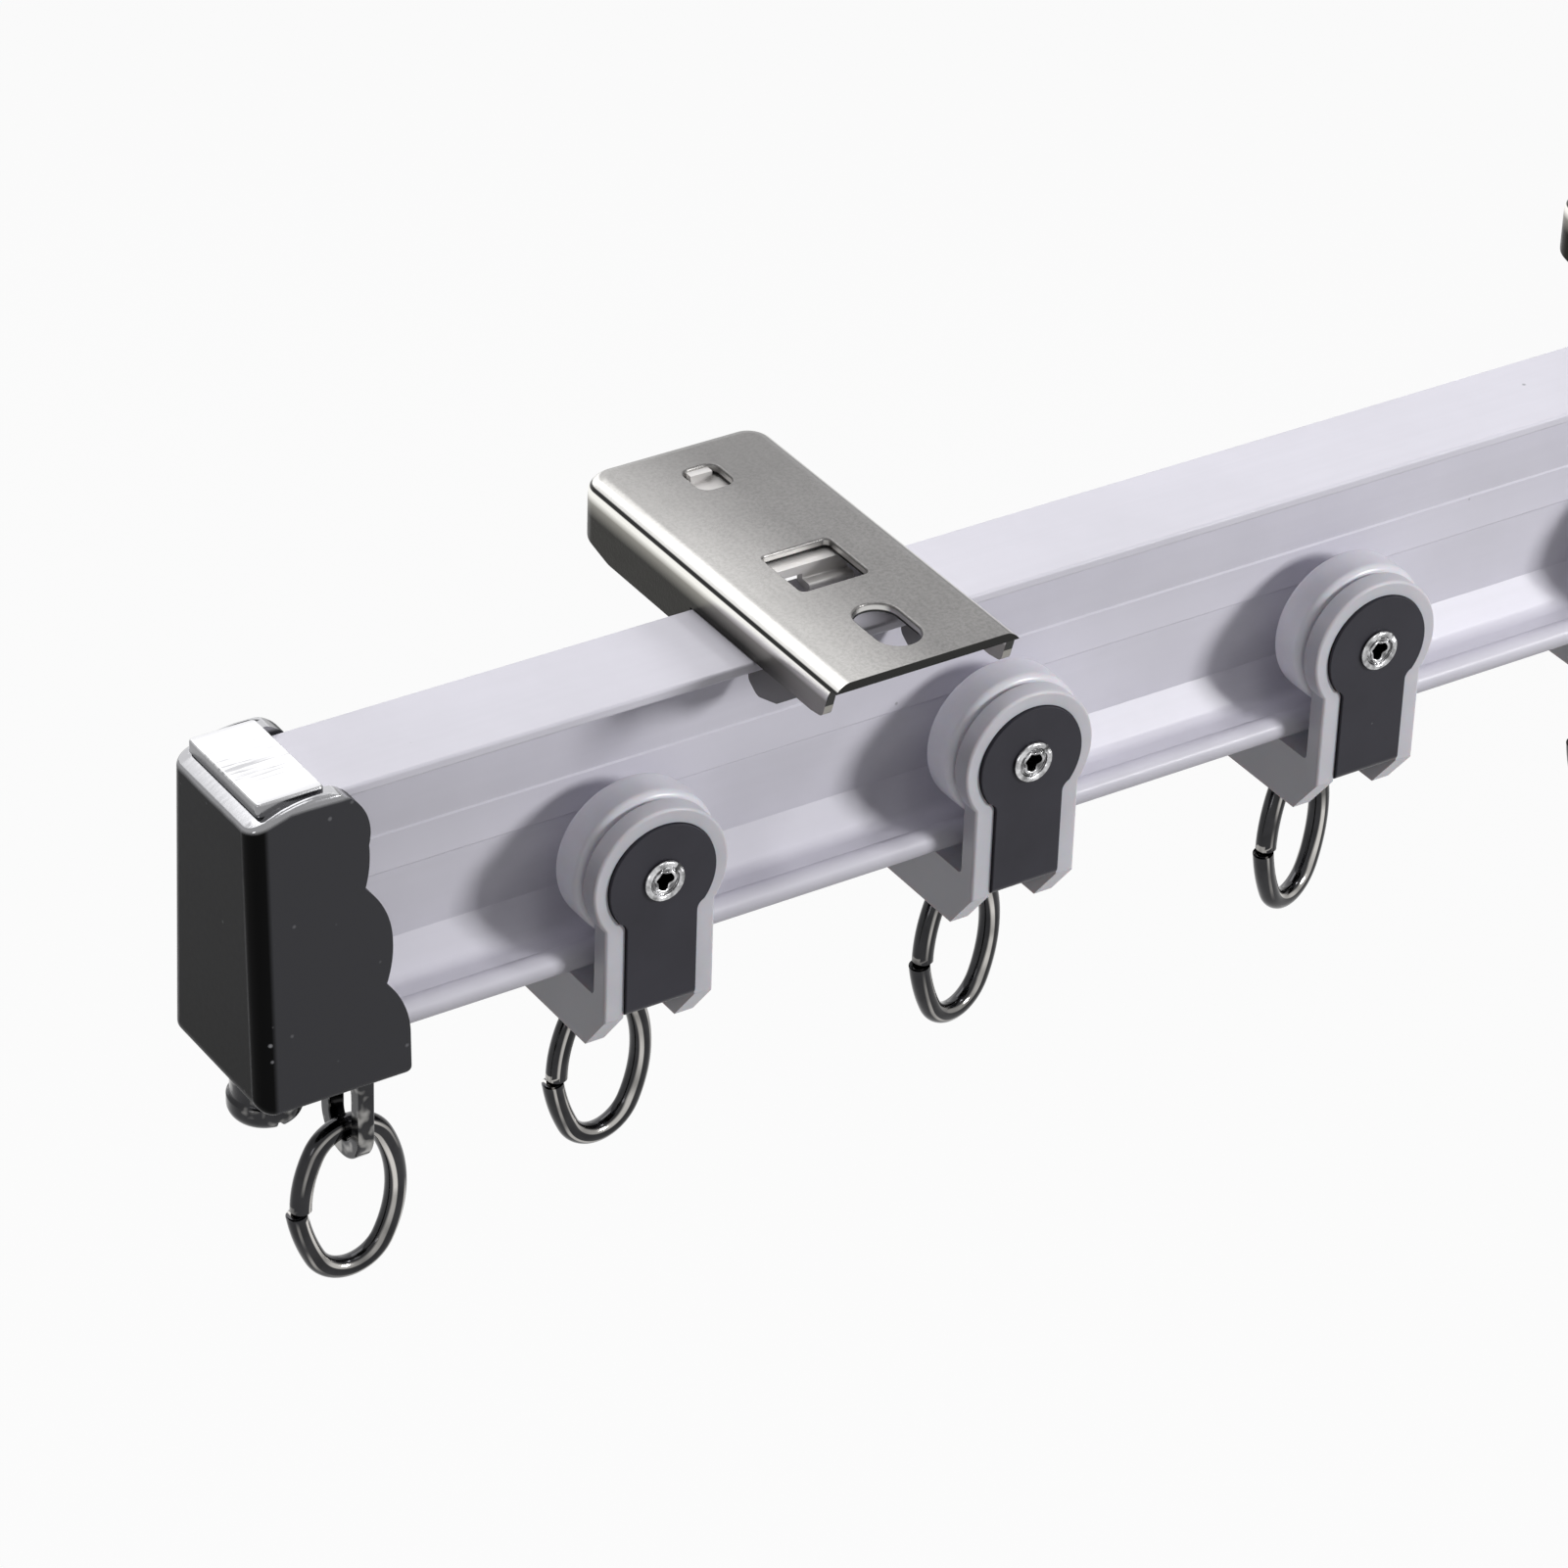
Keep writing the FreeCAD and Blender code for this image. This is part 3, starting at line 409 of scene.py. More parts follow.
def bracket_finish():
    """Satin nickel on pressed sheet, with painted light and shade across the top, a painted highlight on the bend,
    a painted dark line below it, a wall in painted reflection and shade that is darkest at its back, and painted
    shade on the front cut faces.
    """
    base = tone(tuple(colours().nickel), 0.5)
    finish = Finish("bracket_nickel", base, metallic=1.0, roughness=0.34)
    x, y, z = finish.axes()
    cloud = finish.noise(70.0, 4.0)
    brush = finish.noise(1.0, 4.0, 0.6, finish.stretched(1600.0, 240.0, 900.0))
    grain = finish.noise(2300.0, 3.0, 0.75)

    # Across the top, from its inner side to its outer one: painted light and a painted highlight outward, painted
    # shade inward and towards the back
    low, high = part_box("bracket_right")
    half = (high.x - low.x) / 2
    outward = x.size() - (low.x + high.x) / 2
    across = outward.clamped(-2.0 * MM, 8.0 * MM)
    brink = outward.clamped(half - 2.0 * MM, half - 0.4 * MM)
    backward = y.clamped(6.0 * MM, 30.0 * MM)

    # Down the side, from the bend with its painted highlight past a painted dark line to the wall
    drop = z * -1.0
    line_top = 0.75 * MM
    line_foot = 1.15 * MM
    soft = 0.05 * MM
    # Painted highlight along the bend
    bend = drop.between(0.15 * MM, 0.3 * MM, line_top, line_top + 2 * soft)
    # Painted shade: a dark line below the bend's painted highlight
    line = drop.between(line_top - soft, line_top + soft, line_foot - soft, line_foot + soft)
    wall = drop.clamped(line_foot - soft, line_foot + soft)
    # The wall's tones are painted reflection and painted shade: a painted highlight at its top, then grey, lighter
    # at the front and near black at the back
    dull = finish.mix(y.clamped(-17.0 * MM, -4.0 * MM), WALL_FRONT_PAINTED_REFLECTION, WALL_BACK_PAINTED_SHADE)
    dull = finish.mix(drop.clamped(2.2 * MM, 4.0 * MM), WALL_UPPER_PAINTED_REFLECTION, dull)
    dull = finish.mix(drop.clamped(1.6 * MM, 2.4 * MM), WALL_TOP_PAINTED_HIGHLIGHT, dull)

    # Painted shade: the front cut faces near black
    front_deep = 1.5 * MM
    cut_face = (finish.facing()[1] < -0.8) * (y < low.y + front_deep)

    shade = finish.mix(cloud.clamped(0.3, 0.7), tone(base, 0.8), tone(base, 1.15))
    shade = finish.mix(grain.clamped(0.42, 0.6) * 0.6, shade, tone(base, 0.5))
    shade = finish.mix(brush.clamped(0.35, 0.75) * 0.3, shade, tone(base, 1.35))
    # Painted light towards the outer side and its edge, painted shade towards the inner side and the back
    shade = finish.mix(across * 0.18 + brink * 0.4, shade, PAINTED_LIGHT_NICKEL)
    shade = finish.mix((1.0 - across) * 0.4, shade, tone(base, 0.3))
    shade = finish.mix(backward * 0.5, shade, tone(base, 0.6))
    shade = finish.mix(bend * 0.65, shade, PAINTED_HIGHLIGHT_BEND)
    shade = finish.mix(line, shade, PAINTED_SHADE_LINE)
    shade = finish.mix(wall, shade, dull)
    finish.feed("Base Color", finish.mix(cut_face, shade, PAINTED_SHADE_CUT_FACE))
    finish.feed("Roughness", brush * 0.14 + cloud * 0.1 + 0.2)
    finish.bump(grain * 0.8 + brush * 0.4, 0.04 * MM, 0.5)
    return finish.material


def latch_finish():
    """Satin nickel of the latch, lighter than the shell, with painted shade on its ears."""
    base = tone(tuple(colours().nickel), 1.7)
    finish = Finish("latch_nickel", base, metallic=0.2, roughness=0.4)
    drop = finish.axes()[2] * -1.0
    cloud = finish.noise(70.0, 4.0)
    grain = finish.noise(2300.0, 3.0)
    # Painted shade on the ears, which hang below the rail's flange
    ears = drop.clamped(3.0 * MM, 5.0 * MM)
    shade = finish.mix(cloud.clamped(0.3, 0.7), tone(base, 0.9), tone(base, 1.1))
    shade = finish.mix(ears, shade, tone(base, 0.3))
    finish.feed("Base Color", shade)
    finish.feed("Roughness", cloud * 0.1 + 0.34)
    finish.bump(grain, 0.02 * MM, 0.3)
    return finish.material


def nylon_finish(name, rough, factor, flank_shade):
    """Milky moulded nylon with a slight cloud in it, and painted shade on its flanks, the faces that face along
    the track.
    """
    base = tone(tuple(colours().nylon), factor)
    finish = Finish(name, base, roughness=rough, Subsurface_Weight=0.2,
                    Subsurface_Scale=1.5 * MM)
    cloud = finish.noise(160.0, 4.0)
    grain = finish.noise(1400.0, 3.0)
    # Painted shade on the flanks, the faces that face along the track
    flank = finish.facing()[0].size().clamped(0.8, 0.97)
    shade = finish.mix(cloud.clamped(0.3, 0.75), tone(base, 0.93), tone(base, 1.04))
    shade = finish.mix(flank * flank_shade, shade, tone(base, 0.5))
    finish.feed("Base Color", shade)
    finish.feed("Roughness", cloud * 0.15 + (rough - 0.06))
    finish.bump(grain, 0.03 * MM, 0.2)
    return finish.material


def strap_finish():
    """Dark grey satin steel strip with a few light specks."""
    base = tuple(colours().strap)
    finish = Finish("strap_dark_grey", base, metallic=0.2, roughness=0.4,
                    Specular_IOR_Level=0.25)
    cloud = finish.noise(140.0, 4.0)
    grain = finish.noise(2200.0, 3.0)
    dust = finish.specks(600.0, 0.08, 0.1)
    shade = finish.mix(cloud.clamped(0.3, 0.75), tone(base, 0.88), tone(base, 1.15))
    finish.feed("Base Color", finish.mix(dust * 0.3, shade, STRAP_DUST))
    finish.feed("Roughness", cloud * 0.14 + 0.34)
    finish.bump(grain, 0.02 * MM, 0.25)
    return finish.material


def rivet_finish():
    """Bright plated rivet, with painted shade down in its bore."""
    base = tuple(colours().rivet)
    finish = Finish("rivet_bright", base, metallic=1.0, roughness=0.2)
    y = finish.axes()[1]
    cloud = finish.noise(900.0, 3.0)
    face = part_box("runner_1_rivet_back")[1].y
    # Painted shade down in the bore, broken by lighter spots
    bore = 1.0 - y.size().clamped(face - 0.45 * MM, face - 0.2 * MM)
    spots = 1.0 - cloud.clamped(0.5, 0.62) * 0.8
    shade = finish.mix(cloud.clamped(0.35, 0.65), tone(base, 0.35), tone(base, 1.15))
    finish.feed("Base Color", finish.mix(bore * spots, shade, tone(base, 0.08)))
    finish.feed("Roughness", cloud * 0.18 + 0.1)
    finish.bump(cloud, 0.02 * MM, 0.4)
    return finish.material


# Mesh

# Points closer than this are one, in metres, and faces closer to flat than this are one face
MERGE_WITHIN = 2e-6
FLAT_WITHIN = math.radians(0.6)
# Edges sharper than these are rounded over, or shaded as edges
ROUND_OVER = math.radians(38)
SHARP_ON_SOFTENED = math.radians(32)
SHARP_ON_TURNED = math.radians(35)
SHARP_ON_WIRE = math.radians(40)
WIRE_RIM = math.radians(60)


def give(obj, material):
    obj.data.materials.clear()
    obj.data.materials.append(material)


def paint(node, material):
    """A new finish on a CAD node, in its own material slot."""
    for slot in frame["nodes"][node].material_slots:
        slot.link = "OBJECT"
        slot.material = material


def body_of(node):
    for body, members in frame["record"]["behaviour"]["bodies"].items():
        if node in members:
            return body
    raise RuntimeError(f"{node} is in no body")


def stand_for(obj, node, material):
    """Puts a finished mesh in a CAD node's place."""
    give(obj, material)
    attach(obj, body_of(node))
    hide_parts(node)
    return obj


def new_object(name, data):
    obj = bpy.data.objects.new(name, data)
    bpy.context.scene.collection.objects.link(obj)
    return obj


def settle(obj):
    """Turns an object with modifiers into a plain mesh."""
    shapes = bpy.context.evaluated_depsgraph_get()
    mesh = bpy.data.meshes.new_from_object(obj.evaluated_get(shapes))
    name = obj.name
    old = obj.data
    bpy.data.objects.remove(obj)
    if old.users == 0 and isinstance(old, bpy.types.Mesh):
        bpy.data.meshes.remove(old)
    return new_object(name, mesh)


def shade_by_angle(mesh, limit):
    """Smooth faces, with sharp edges where they meet at more than the angle."""
    shape = bmesh.new()
    shape.from_mesh(mesh)
    for face in shape.faces:
        face.smooth = True
    for edge in shape.edges:
        edge.smooth = len(edge.link_faces) == 2 and edge.calc_face_angle() < limit
    shape.to_mesh(mesh)
    shape.free()


def softened(node, width):
    """A copy of a CAD node with its facets merged and its sharp edges rounded over."""
    mesh = frame["nodes"][node].data.copy()
    shape = bmesh.new()
    shape.from_mesh(mesh)
    bmesh.ops.remove_doubles(shape, verts=shape.verts, dist=MERGE_WITHIN)
    bmesh.ops.dissolve_limit(shape, angle_limit=FLAT_WITHIN, verts=shape.verts,
                             edges=shape.edges)
    shape.to_mesh(mesh)
    shape.free()
    obj = new_object(f"{node}_body", mesh)
    bevel = obj.modifiers.new("edge_break", "BEVEL")
    bevel.width = width
    bevel.segments = 2
    bevel.limit_method = "ANGLE"
    bevel.angle_limit = ROUND_OVER
    bevel.use_clamp_overlap = True
    obj = settle(obj)
    shade_by_angle(obj.data, SHARP_ON_SOFTENED)
    return flat_faced(obj)


def flat_faced(obj):
    """Lets the large faces set the shading, so that they look flat beside their rounded edges."""
    weight = obj.modifiers.new("weighted", "WEIGHTED_NORMAL")
    weight.mode = "FACE_AREA"
    weight.keep_sharp = True
    return settle(obj)


def rounded(points, steps=6):
    """A closed outline of (u, v, corner radius) points with its corners rounded."""
    outline = []
    count = len(points)
    for index, (u, v, radius) in enumerate(points):
        corner = Vector((u, v))
        if radius <= 0:
            outline.append(corner)
            continue
        before = (Vector(points[index - 1][:2]) - corner).normalized()
        after = (Vector(points[(index + 1) % count][:2]) - corner).normalized()
        half = before.angle(after) / 2
        centre = corner + (before + after).normalized() * (radius / math.sin(half))
        start = corner + before * (radius / math.tan(half)) - centre
        stop = corner + after * (radius / math.tan(half)) - centre
        turn = start.angle_signed(stop)
        for step in range(steps + 1):
            outline.append(centre + Matrix.Rotation(-turn * step / steps, 2) @ start)
    return outline


def turned(name, outline, place, reshape=None):
    """A ring-shaped solid turned about its own Y axis from an outline of (along, radius)."""
    shape = bmesh.new()
    rows = []
    steps = sizes().turned_steps
    for step in range(steps):
        angle = 2 * math.pi * step / steps
        row = []
        for along, radius in outline:
            if reshape:
                along, radius = reshape(along, radius, angle)
            spot = Vector((radius * math.sin(angle), along, radius * math.cos(angle)))
            row.append(shape.verts.new(place @ spot))
        rows.append(row)
    count = len(outline)
    for step in range(steps):
        here = rows[step]
        following = rows[(step + 1) % steps]
        for index in range(count):
            other = (index + 1) % count
            shape.faces.new((here[index], here[other], following[other], following[index]))
    bmesh.ops.recalc_face_normals(shape, faces=shape.faces)
    mesh = bpy.data.meshes.new(name)
    shape.to_mesh(mesh)
    shape.free()
    shade_by_angle(mesh, SHARP_ON_TURNED)
    return new_object(name, mesh)


def axle_frame(node):
    """A wheel's or rivet's own place, along its axle from the inner face, with its sizes in mm."""
    low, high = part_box(node)
    middle = (low + high) / 2
    outward = 1.0 if middle.y > 0 else -1.0
    inner = low.y if outward > 0 else high.y
    place = Matrix.Translation((middle.x, inner, middle.z))
    if outward < 0:
        place = place @ Matrix.Rotation(math.pi, 4, "Z")
    return place, (high.z - low.z) / 2 / MM, (high.y - low.y) / MM


def in_metres(points):
    return [(u * MM, v * MM, radius * MM) for u, v, radius in points]


def build_wheel(node, material):
    """A tyre with a recessed ring in its outer face and a hub that stands proud of it."""
    place, rim, hub_face = axle_frame(node)
    tyre_round = 0.9
    tyre_face = hub_face - 0.45
    recess = tyre_face - 0.7
    bore = 1.85
    inner_seat = 3.3
    seat_deep = 0.7
    outline = rounded(in_metres([
        (0, rim, tyre_round), (tyre_face, rim, tyre_round), (tyre_face, 4.5, 0.12),
        (recess, 4.1, 0.25), (recess, 3.1, 0.15), (hub_face, 2.8, 0.12), (hub_face, bore, 0.06),
        (seat_deep, bore, 0.06), (seat_deep, inner_seat, 0.1), (0, inner_seat, 0.15)]))
    obj = turned(f"{node}_body", outline, place)
    return stand_for(flat_faced(obj), node, material)


def build_rivet(node, material):
    """The rivet's outer end is rolled over, with one split in the ring and a ragged mouth."""
    place, _, end = axle_frame(node)
    bore = 1.0
    shank = 1.8
    roll = 2.3
    head = 3.0
    head_deep = 0.5
    roll_foot = end - 0.5
    groove = end - 0.38
    mouth = end - 0.06
    outline = rounded(in_metres([
        (0, bore, 0.05), (0, head, 0.2), (head_deep, head, 0.05), (head_deep, shank, 0.05),
        (roll_foot, shank, 0.0), (roll_foot, roll, 0.1), (end, roll, 0.32), (end, 1.66, 0.28),
        (groove, 1.6, 0.08), (groove, 1.36, 0.06), (mouth, 1.3, 0.12), (mouth, bore, 0.14)]), 4)
    split_at = math.radians(305)
    split_wide = math.radians(17)
    roll_inside = 1.5 * MM
    tube_outside = 1.35 * MM
    teeth = 3
    teeth_turn = 0.7
    face = roll_foot * MM

    def ragged(along, out, angle):
        if along > face and out > roll_inside:
            split = max(0.0, 1.0 - abs(angle - split_at) / split_wide)
            along = face + (along - face) * (1.0 - 0.85 * min(1.0, split * 2.0))
        if along > face and out < tube_outside:
            tooth = math.cos(teeth * angle + teeth_turn)
            along -= 0.12 * MM * (1.0 + tooth)
            out -= 0.3 * MM * max(0.0, tooth)
        return along, out

    return stand_for(turned(f"{node}_body", outline, place, ragged), node, material)


# Rings

def wire_tree():
    """Wire of a given thickness along a curve, with closed ends."""
    tree = bpy.data.node_groups.new("bent_wire", "GeometryNodeTree")
    face = tree.interface
    face.new_socket("Geometry", in_out="INPUT", socket_type="NodeSocketGeometry")
    radius = face.new_socket("Wire radius", in_out="INPUT", socket_type="NodeSocketFloat")
    facets = face.new_socket("Facets", in_out="INPUT", socket_type="NodeSocketInt")
    finish = face.new_socket("Finish", in_out="INPUT", socket_type="NodeSocketMaterial")
    face.new_socket("Geometry", in_out="OUTPUT", socket_type="NodeSocketGeometry")
    sheet = Sheet(tree)
    start = sheet.node("NodeGroupInput")
    section = sheet.node("GeometryNodeCurvePrimitiveCircle", None, {
        "Resolution": start.out("Facets"), "Radius": start.out("Wire radius")})
    wire = sheet.node("GeometryNodeCurveToMesh", None, {
        "Curve": start.out("Geometry"), "Profile Curve": section.out("Curve"),
        "Fill Caps": True})
    smooth = sheet.node("GeometryNodeSetShadeSmooth", None, {"Geometry": wire.out("Mesh")})
    real = sheet.node("GeometryNodeRealizeInstances", None, {"Geometry": smooth.out("Geometry")})
    plated = sheet.node("GeometryNodeSetMaterial", None, {
        "Geometry": real.out("Geometry"), "Material": start.out("Finish")})
    sheet.node("NodeGroupOutput", None, {"Geometry": plated.out("Geometry")})
    return tree, (radius.identifier, facets.identifier, finish.identifier)


def arc_points(centre, radius, first, last, steps):
    """Points from one angle to another, the first left out."""
    spots = []
    for step in range(1, steps + 1):
        angle = first + (last - first) * step / steps
        spots.append(centre + Vector((math.cos(angle), math.sin(angle))) * radius)
    return spots


def ring_line():
    """The wire's centre line in the ring's own plane, from the seam round to the proud end."""
    s = sizes()
    wide = (s.ring_wide - s.ring_wire) / 2
    high = (s.ring_high - s.ring_wire) / 2
    end = s.ring_end_curve
    side = (wide ** 2 + high ** 2 - 2 * high * end) / (2 * (wide - end))
    turn = math.atan2(high - end, side - wide)
    steps = s.ring_steps // 8
    top = Vector((0, high - end))
    low = Vector((0, end - high))
    left = Vector((side - wide, 0))
    right = Vector((wide - side, 0))
    line = [Vector((-wide, 0))]
    line += arc_points(left, side, math.pi, math.pi - turn, steps)
    line += arc_points(top, end, math.pi - turn, turn, steps * 2)
    line += arc_points(right, side, turn, -turn, steps * 2)
    line += arc_points(low, end, -turn, turn - math.pi, steps * 2)
    return line + proud_end(line[-1], left, wide + s.ring_step, steps)


def proud_end(corner, left, out, steps):
    """The last arc, from the low corner to just below the seam, out at the given distance.

    Halving the span of radii finds the one whose arc ends there.
    """
    seam = -0.12 * MM
    inward = (left - corner).normalized()
    narrow = 5 * MM
    broad = 400 * MM
    halvings = 60
    for _ in range(halvings):
        radius = (narrow + broad) / 2
        centre = corner + inward * radius
        reach = math.sqrt(max(radius ** 2 - (seam - centre.y) ** 2, 0.0)) - centre.x
        if reach < out:
            narrow = radius
        else:
            broad = radius
    first = math.atan2(corner.y - centre.y, corner.x - centre.x)
    last = math.atan2(seam - centre.y, -(reach + centre.x))
    if last > first:
        last -= 2 * math.pi
    if first - last > math.pi:
        last += 2 * math.pi
    return arc_points(centre, radius, first, last, steps)


def build_ring(node, tree, sockets, material):
    """Bends a ring's wire about its hinge and rounds the rims of its cut ends."""
    s = sizes()
    body = body_of(node)
    joint = [j for j in frame["joints"] if j["child"] == body][0]
    across = Vector(joint["axis"])
    hinge = Vector(joint["pos_m"])
    centre = hinge - Vector((0, 0, (s.ring_high - s.ring_wire) / 2))
    # The right cap's ring, like the cap, is turned half round
    flip = -1.0 if node == "cap_ring_right" else 1.0
    curve = bpy.data.curves.new(f"{node}_line", "CURVE")
    curve.dimensions = "3D"
    line = [across * (spot.x * flip) + Vector((0, 0, spot.y)) for spot in ring_line()]
    spline = curve.splines.new("POLY")
    spline.points.add(len(line) - 1)
    for spot, point in zip(line, spline.points):
        point.co = (*(centre + spot), 1.0)
    obj = new_object(f"{node}_wire", curve)
    wire = obj.modifiers.new("wire", "NODES")
    wire.node_group = tree
    for socket, value in zip(sockets, (s.ring_wire / 2, s.ring_sides, material)):
        wire[socket] = value
    obj = settle(obj)
    shape = bmesh.new()
    shape.from_mesh(obj.data)
    bmesh.ops.recalc_face_normals(shape, faces=shape.faces)
    rims = [edge for edge in shape.edges
            if len(edge.link_faces) == 2 and edge.calc_face_angle() > WIRE_RIM]
    bmesh.ops.bevel(shape, geom=rims, offset=0.16 * MM, segments=2, affect="EDGES")
    shape.to_mesh(obj.data)
    shape.free()
    shade_by_angle(obj.data, SHARP_ON_WIRE)
    mark_inward(obj.data, centre, line)
    return stand_for(obj, node, material)


def mark_inward(mesh, centre, line):
    """Stores how far each point faces the ring's middle, from -1 outside to 1 inside."""
    tree = KDTree(len(line))
    for index, spot in enumerate(line):
        tree.insert(spot, index)
    tree.balance()
    half = sizes().ring_wire / 2
    inward = mesh.attributes.new("inward", "FLOAT", "POINT")
    for vertex, value in zip(mesh.vertices, inward.data):
        place = vertex.co - centre
        nearest = tree.find(place)[0]
        value.value = -(place - nearest).dot(nearest.normalized()) / half


# Operators, one for each group of like pieces

# How wide the edges of castings and of strip are beside those of the other pieces
CAST_EDGE = 1.5
STRIP_EDGE = 0.8


class TRACK_OT_rail(bpy.types.Operator):
    """Finish the rail"""
    bl_idname = "track.rail"
    bl_label = "Rail"

    def execute(self, context):
        paint("rail", rail_finish())
        return {"FINISHED"}


class TRACK_OT_caps(bpy.types.Operator):
    """Finish both end caps"""
    bl_idname = "track.caps"
    bl_label = "End caps"

    def execute(self, context):
        material = cap_finish()
        for end in ENDS:
            node = f"end_cap_{end}"
            stand_for(softened(node, sizes().edge * CAST_EDGE), node, material)
        return {"FINISHED"}


class TRACK_OT_plated(bpy.types.Operator):
    """Finish the clamp screws and all the eyes"""
    bl_idname = "track.plated"
    bl_label = "Screws and eyes"

    def execute(self, context):
        material = plating_finish("black_nickel", False)
        nodes = [f"clamp_screw_{end}" for end in ENDS] + [f"cap_eye_{end}" for end in ENDS]
        nodes += [f"runner_{number}_eye" for number in RUNNERS]
        for node in nodes:
            stand_for(softened(node, sizes().edge), node, material)
        return {"FINISHED"}


class TRACK_OT_rings(bpy.types.Operator):
    """Bend the wire of all the rings"""
    bl_idname = "track.rings"
    bl_label = "Rings"

    def execute(self, context):
        material = plating_finish("black_nickel_wire", True)
        tree, sockets = wire_tree()
        nodes = [f"cap_ring_{end}" for end in ENDS]
        nodes += [f"runner_{number}_ring" for number in RUNNERS]
        for node in nodes:
            build_ring(node, tree, sockets, material)
        return {"FINISHED"}


class TRACK_OT_brackets(bpy.types.Operator):
    """Finish the brackets and the latches in them"""
    bl_idname = "track.brackets"
    bl_label = "Brackets and latches"

    def execute(self, context):
        shell = bracket_finish()
        slider = latch_finish()
        for end in ENDS:
            stand_for(softened(f"bracket_{end}", sizes().edge), f"bracket_{end}", shell)
            stand_for(softened(f"latch_{end}", sizes().edge), f"latch_{end}", slider)
        return {"FINISHED"}


class TRACK_OT_yokes(bpy.types.Operator):
    """Finish the runners' yokes and straps"""
    bl_idname = "track.yokes"
    bl_label = "Yokes and straps"

    def execute(self, context):
        nylon = nylon_finish("yoke_nylon", rough=0.42, factor=0.94, flank_shade=0.62)
        grey = strap_finish()
        for number in RUNNERS:
            yoke = f"runner_{number}_yoke"
            strap = f"runner_{number}_strap"
            stand_for(softened(yoke, sizes().edge), yoke, nylon)
            stand_for(softened(strap, sizes().edge * STRIP_EDGE), strap, grey)
        return {"FINISHED"}


class TRACK_OT_wheels(bpy.types.Operator):
    """Finish the runners' wheels and the rivets that they turn on"""
    bl_idname = "track.wheels"
    bl_label = "Wheels and rivets"

    def execute(self, context):
        nylon = nylon_finish("wheel_nylon", rough=0.3, factor=1.14, flank_shade=0.0)
        bright = rivet_finish()
        for number in RUNNERS:
            for side in SIDES:
                build_wheel(f"runner_{number}_wheel_{side}", nylon)
                build_rivet(f"runner_{number}_rivet_{side}", bright)
        return {"FINISHED"}


# Stage, in metres and watts

FLOOR_HALF = 12.0
FLOOR_HEIGHT = -0.5
WORLD_LIGHT = 0.1
WORLD_SEEN = 0.96
FLOOR_GLOW = 0.94
LAMPS_AIM = (-60 * MM, 0, -20 * MM)
# Each lamp's name, place, width and power
LAMPS = (
    ("key", (0.42, -0.6, 0.26), 0.17, 4.2),
    ("sky", (0.12, 0.78, 0.55), 1.3, 5.7),
    ("top", (-0.1, 0.45, 0.75), 0.6, 2.6),
    ("front", (0.0, -0.3, 0.85), 0.3, 0.8),
    ("glint", (0.4, -0.29, 0.68), 0.09, 0.7),
    ("strip", (-0.6, -0.2, 0.1), 0.12, 0.18),
)


def lamp(name, location, width, power):
    """A square lamp aimed at the near half of the track."""
    data = bpy.data.lights.new(name, "AREA")
    data.shape = "SQUARE"
    data.size = width
    data.energy = power
    obj = new_object(name, data)
    obj.location = location
    obj.rotation_mode = "QUATERNION"
    obj.rotation_quaternion = (Vector(LAMPS_AIM) - Vector(location)).to_track_quat("-Z", "Y")


def seen_share(sheet, share):
    """The share where the camera or a reflection sees a surface, 0 where light only bounces."""
    path = sheet.node("ShaderNodeLightPath")
    seen = path.out("Is Camera Ray")
    for key in ("Is Glossy Ray", "Is Transmission Ray"):
        seen = seen.math("MAXIMUM", path.out(key))
    return seen * share


def floor_finish():
    """White to the camera and in reflections but for a part that keeps the shadow."""
    material = bpy.data.materials.new("floor_white")
    material.use_nodes = True
    sheet = Sheet(material.node_tree)
    sheet.tree.nodes.clear()
    plain = sheet.node("ShaderNodeBsdfDiffuse", None, {"Color": opaque(colours().floor)})
    glow = sheet.node("ShaderNodeEmission", None, {"Color": opaque(WHITE)})
    mixed = sheet.node("ShaderNodeMixShader", None, {
        0: seen_share(sheet, FLOOR_GLOW), 1: plain.out(0), 2: glow.out(0)})
    sheet.node("ShaderNodeOutputMaterial", None, {"Surface": mixed.out(0)})
    return material


def build_floor():
    """A flat floor far below the track and wide enough to fill the picture."""
    corners = [(x * FLOOR_HALF, y * FLOOR_HALF, FLOOR_HEIGHT)
               for x, y in ((-1, -1), (1, -1), (1, 1), (-1, 1))]
    mesh = bpy.data.meshes.new("floor")
    mesh.from_pydata(corners, [], [(0, 1, 2, 3)])
    floor = new_object("floor", mesh)
    give(floor, floor_finish())


def studio_world():
    """A dim world for the light, which the camera and reflections see as white."""
    world = bpy.data.worlds.new("studio")
    world.use_nodes = True
    sheet = Sheet(world.node_tree)
    ground = sheet.tree.nodes["Background"]
    sheet.set(ground.inputs["Color"], opaque(WHITE))
    strength = seen_share(sheet, WORLD_SEEN - WORLD_LIGHT) + WORLD_LIGHT
    sheet.set(ground.inputs["Strength"], strength)
    return world


class TRACK_OT_stage(bpy.types.Operator):
    """Set up the floor, the lamps, the world and the camera"""
    bl_idname = "track.stage"
    bl_label = "Stage"

    def execute(self, context):
        scene = context.scene
        scene.view_settings.view_transform = "Standard"
        build_floor()
        for name, location, width, power in LAMPS:
            lamp(name, location, width, power)
        scene.world = studio_world()
        place_camera(scene)
        return {"FINISHED"}


# The photograph's view, found from the object's own edges: the camera's heading, tilt and
# roll in degrees, its focal length in picture widths, and where the rail's near end lies
# from it, to the right, down and forward, in millimetres
HEADING = 33.538
TILT = 32.538
ROLL = -2.004
PICTURE_PIXELS = 1601
FOCAL_PIXELS = 6500
FOCAL = FOCAL_PIXELS / PICTURE_PIXELS
NEAR_END = Vector((-132.0, 0.0, -4.8))
NEAR_END_SEEN = Vector((-54.699, 0.685, 605.634))
SENSOR = 36.0


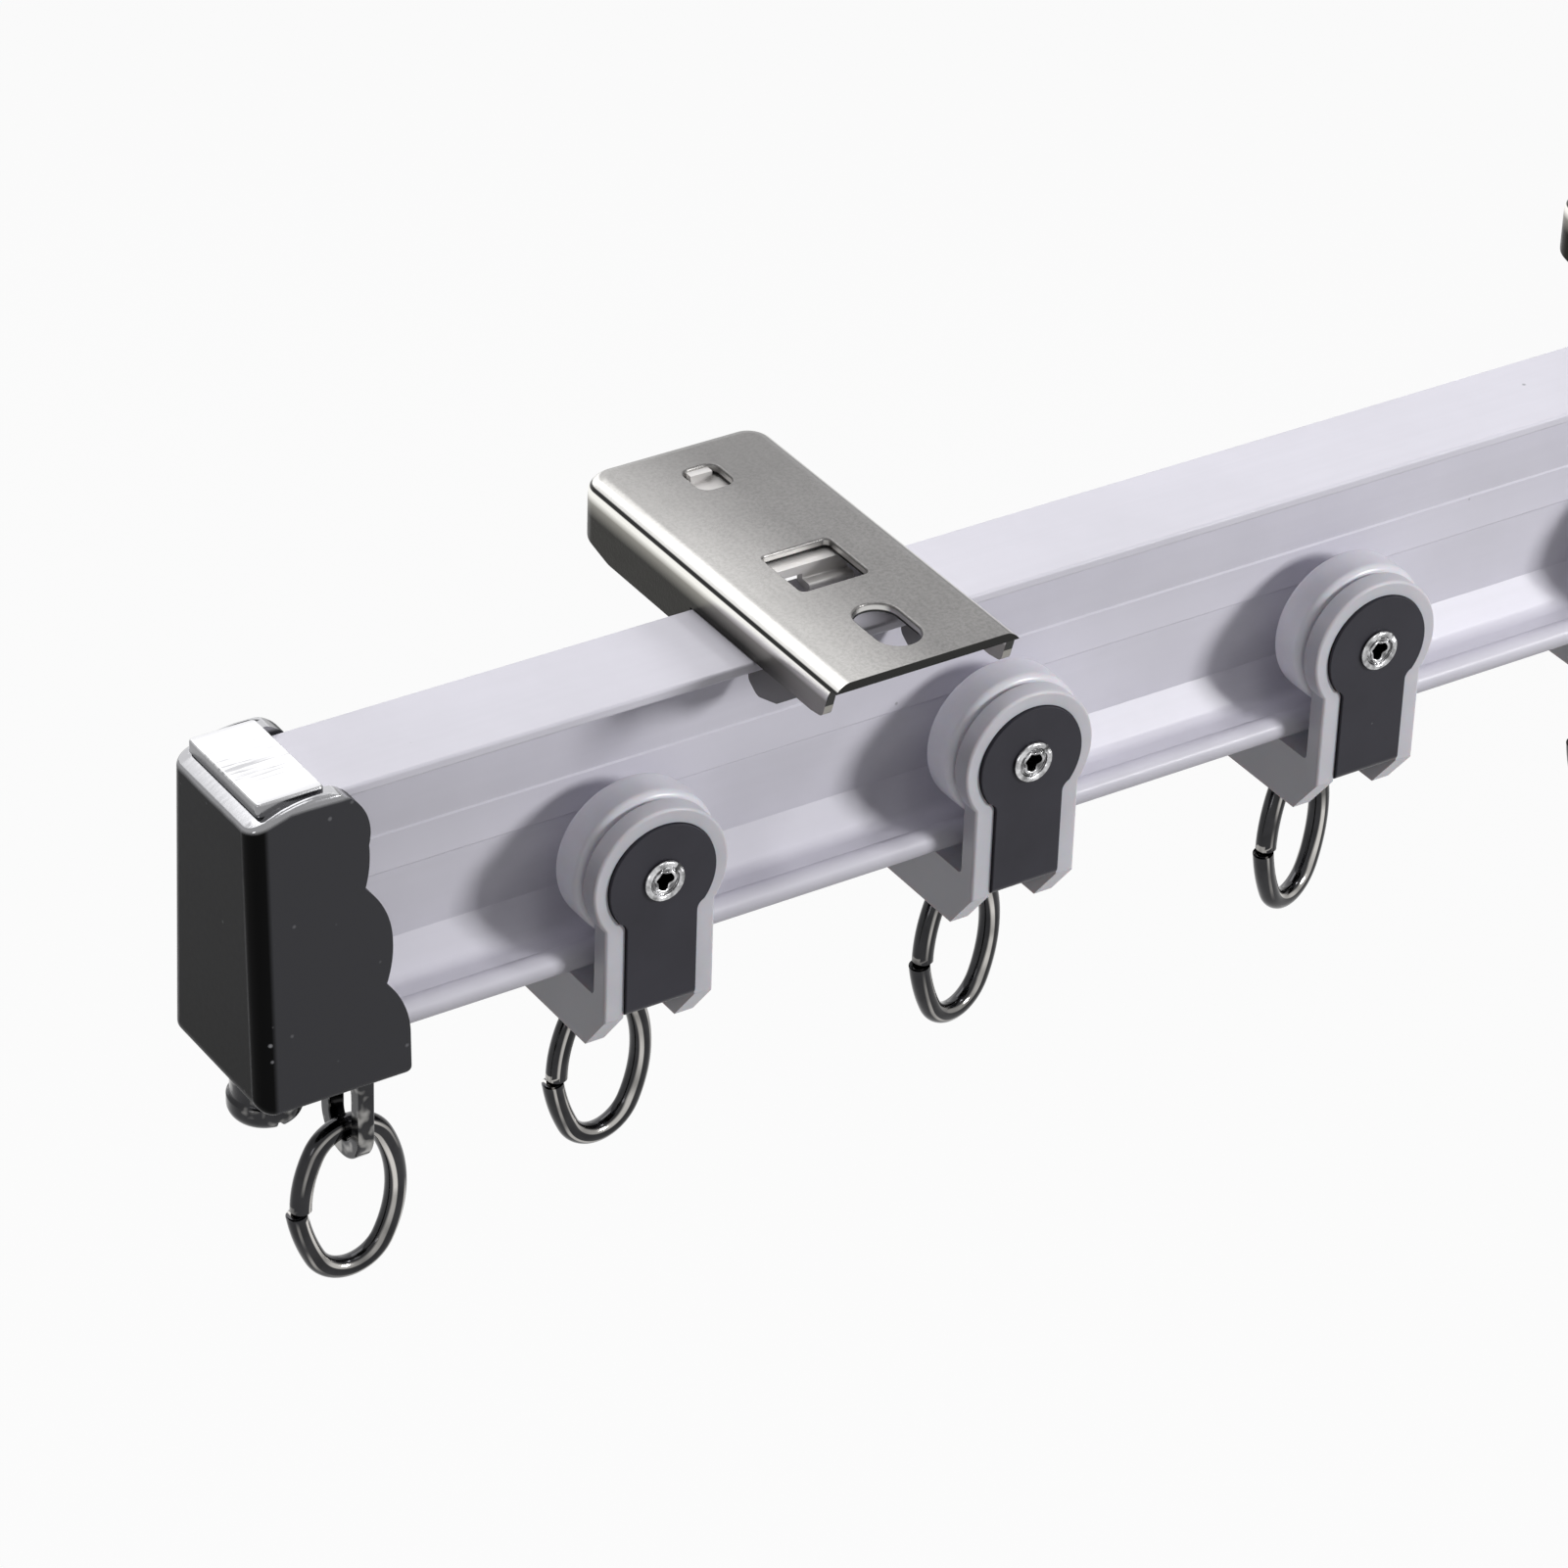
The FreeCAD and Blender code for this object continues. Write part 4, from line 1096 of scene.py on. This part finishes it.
def place_camera(scene):
    heading = math.radians(HEADING)
    tilt = math.radians(TILT)
    roll = math.radians(ROLL)
    forward = Vector((math.sin(heading) * math.cos(tilt), math.cos(heading) * math.cos(tilt),
                      -math.sin(tilt)))
    level = Vector((math.cos(heading), -math.sin(heading), 0.0))
    down = forward.cross(level)
    right = level * math.cos(roll) + down * math.sin(roll)
    down = down * math.cos(roll) - level * math.sin(roll)
    away = right * NEAR_END_SEEN.x + down * NEAR_END_SEEN.y + forward * NEAR_END_SEEN.z
    data = bpy.data.cameras.new("camera")
    data.sensor_width = SENSOR
    data.lens = FOCAL * SENSOR
    data.clip_start = 0.01
    data.clip_end = 20.0
    camera = new_object("camera", data)
    turn = Matrix((right, -down, -forward)).transposed()
    camera.matrix_world = Matrix.Translation((NEAR_END - away) * MM) @ turn.to_4x4()
    scene.camera = camera


class TRACK_PT_panel(bpy.types.Panel):
    """The track's pieces, sizes and colours"""
    bl_label = "Room divider track"
    bl_idname = "TRACK_PT_panel"
    bl_space_type = "VIEW_3D"
    bl_region_type = "UI"
    bl_category = "Track"

    def draw(self, context):
        layout = self.layout
        for operator in OPERATORS:
            layout.operator(operator.bl_idname)
        for group in (context.scene.track_sizes, context.scene.track_colours):
            box = layout.box()
            for key in group.__annotations__:
                box.prop(group, key)


OPERATORS = (TRACK_OT_stage, TRACK_OT_rail, TRACK_OT_caps, TRACK_OT_plated, TRACK_OT_rings,
             TRACK_OT_brackets, TRACK_OT_yokes, TRACK_OT_wheels)
CLASSES = (TrackSizes, TrackColours, *OPERATORS, TRACK_PT_panel)


def register():
    for item in CLASSES:
        bpy.utils.register_class(item)
    bpy.types.Scene.track_sizes = PointerProperty(type=TrackSizes)
    bpy.types.Scene.track_colours = PointerProperty(type=TrackColours)


def unregister():
    del bpy.types.Scene.track_colours
    del bpy.types.Scene.track_sizes
    for item in reversed(CLASSES):
        bpy.utils.unregister_class(item)


def main():
    register()
    for operator in OPERATORS:
        group, name = operator.bl_idname.split(".")
        getattr(getattr(bpy.ops, group), name)()


if __name__ == "__main__":
    main()
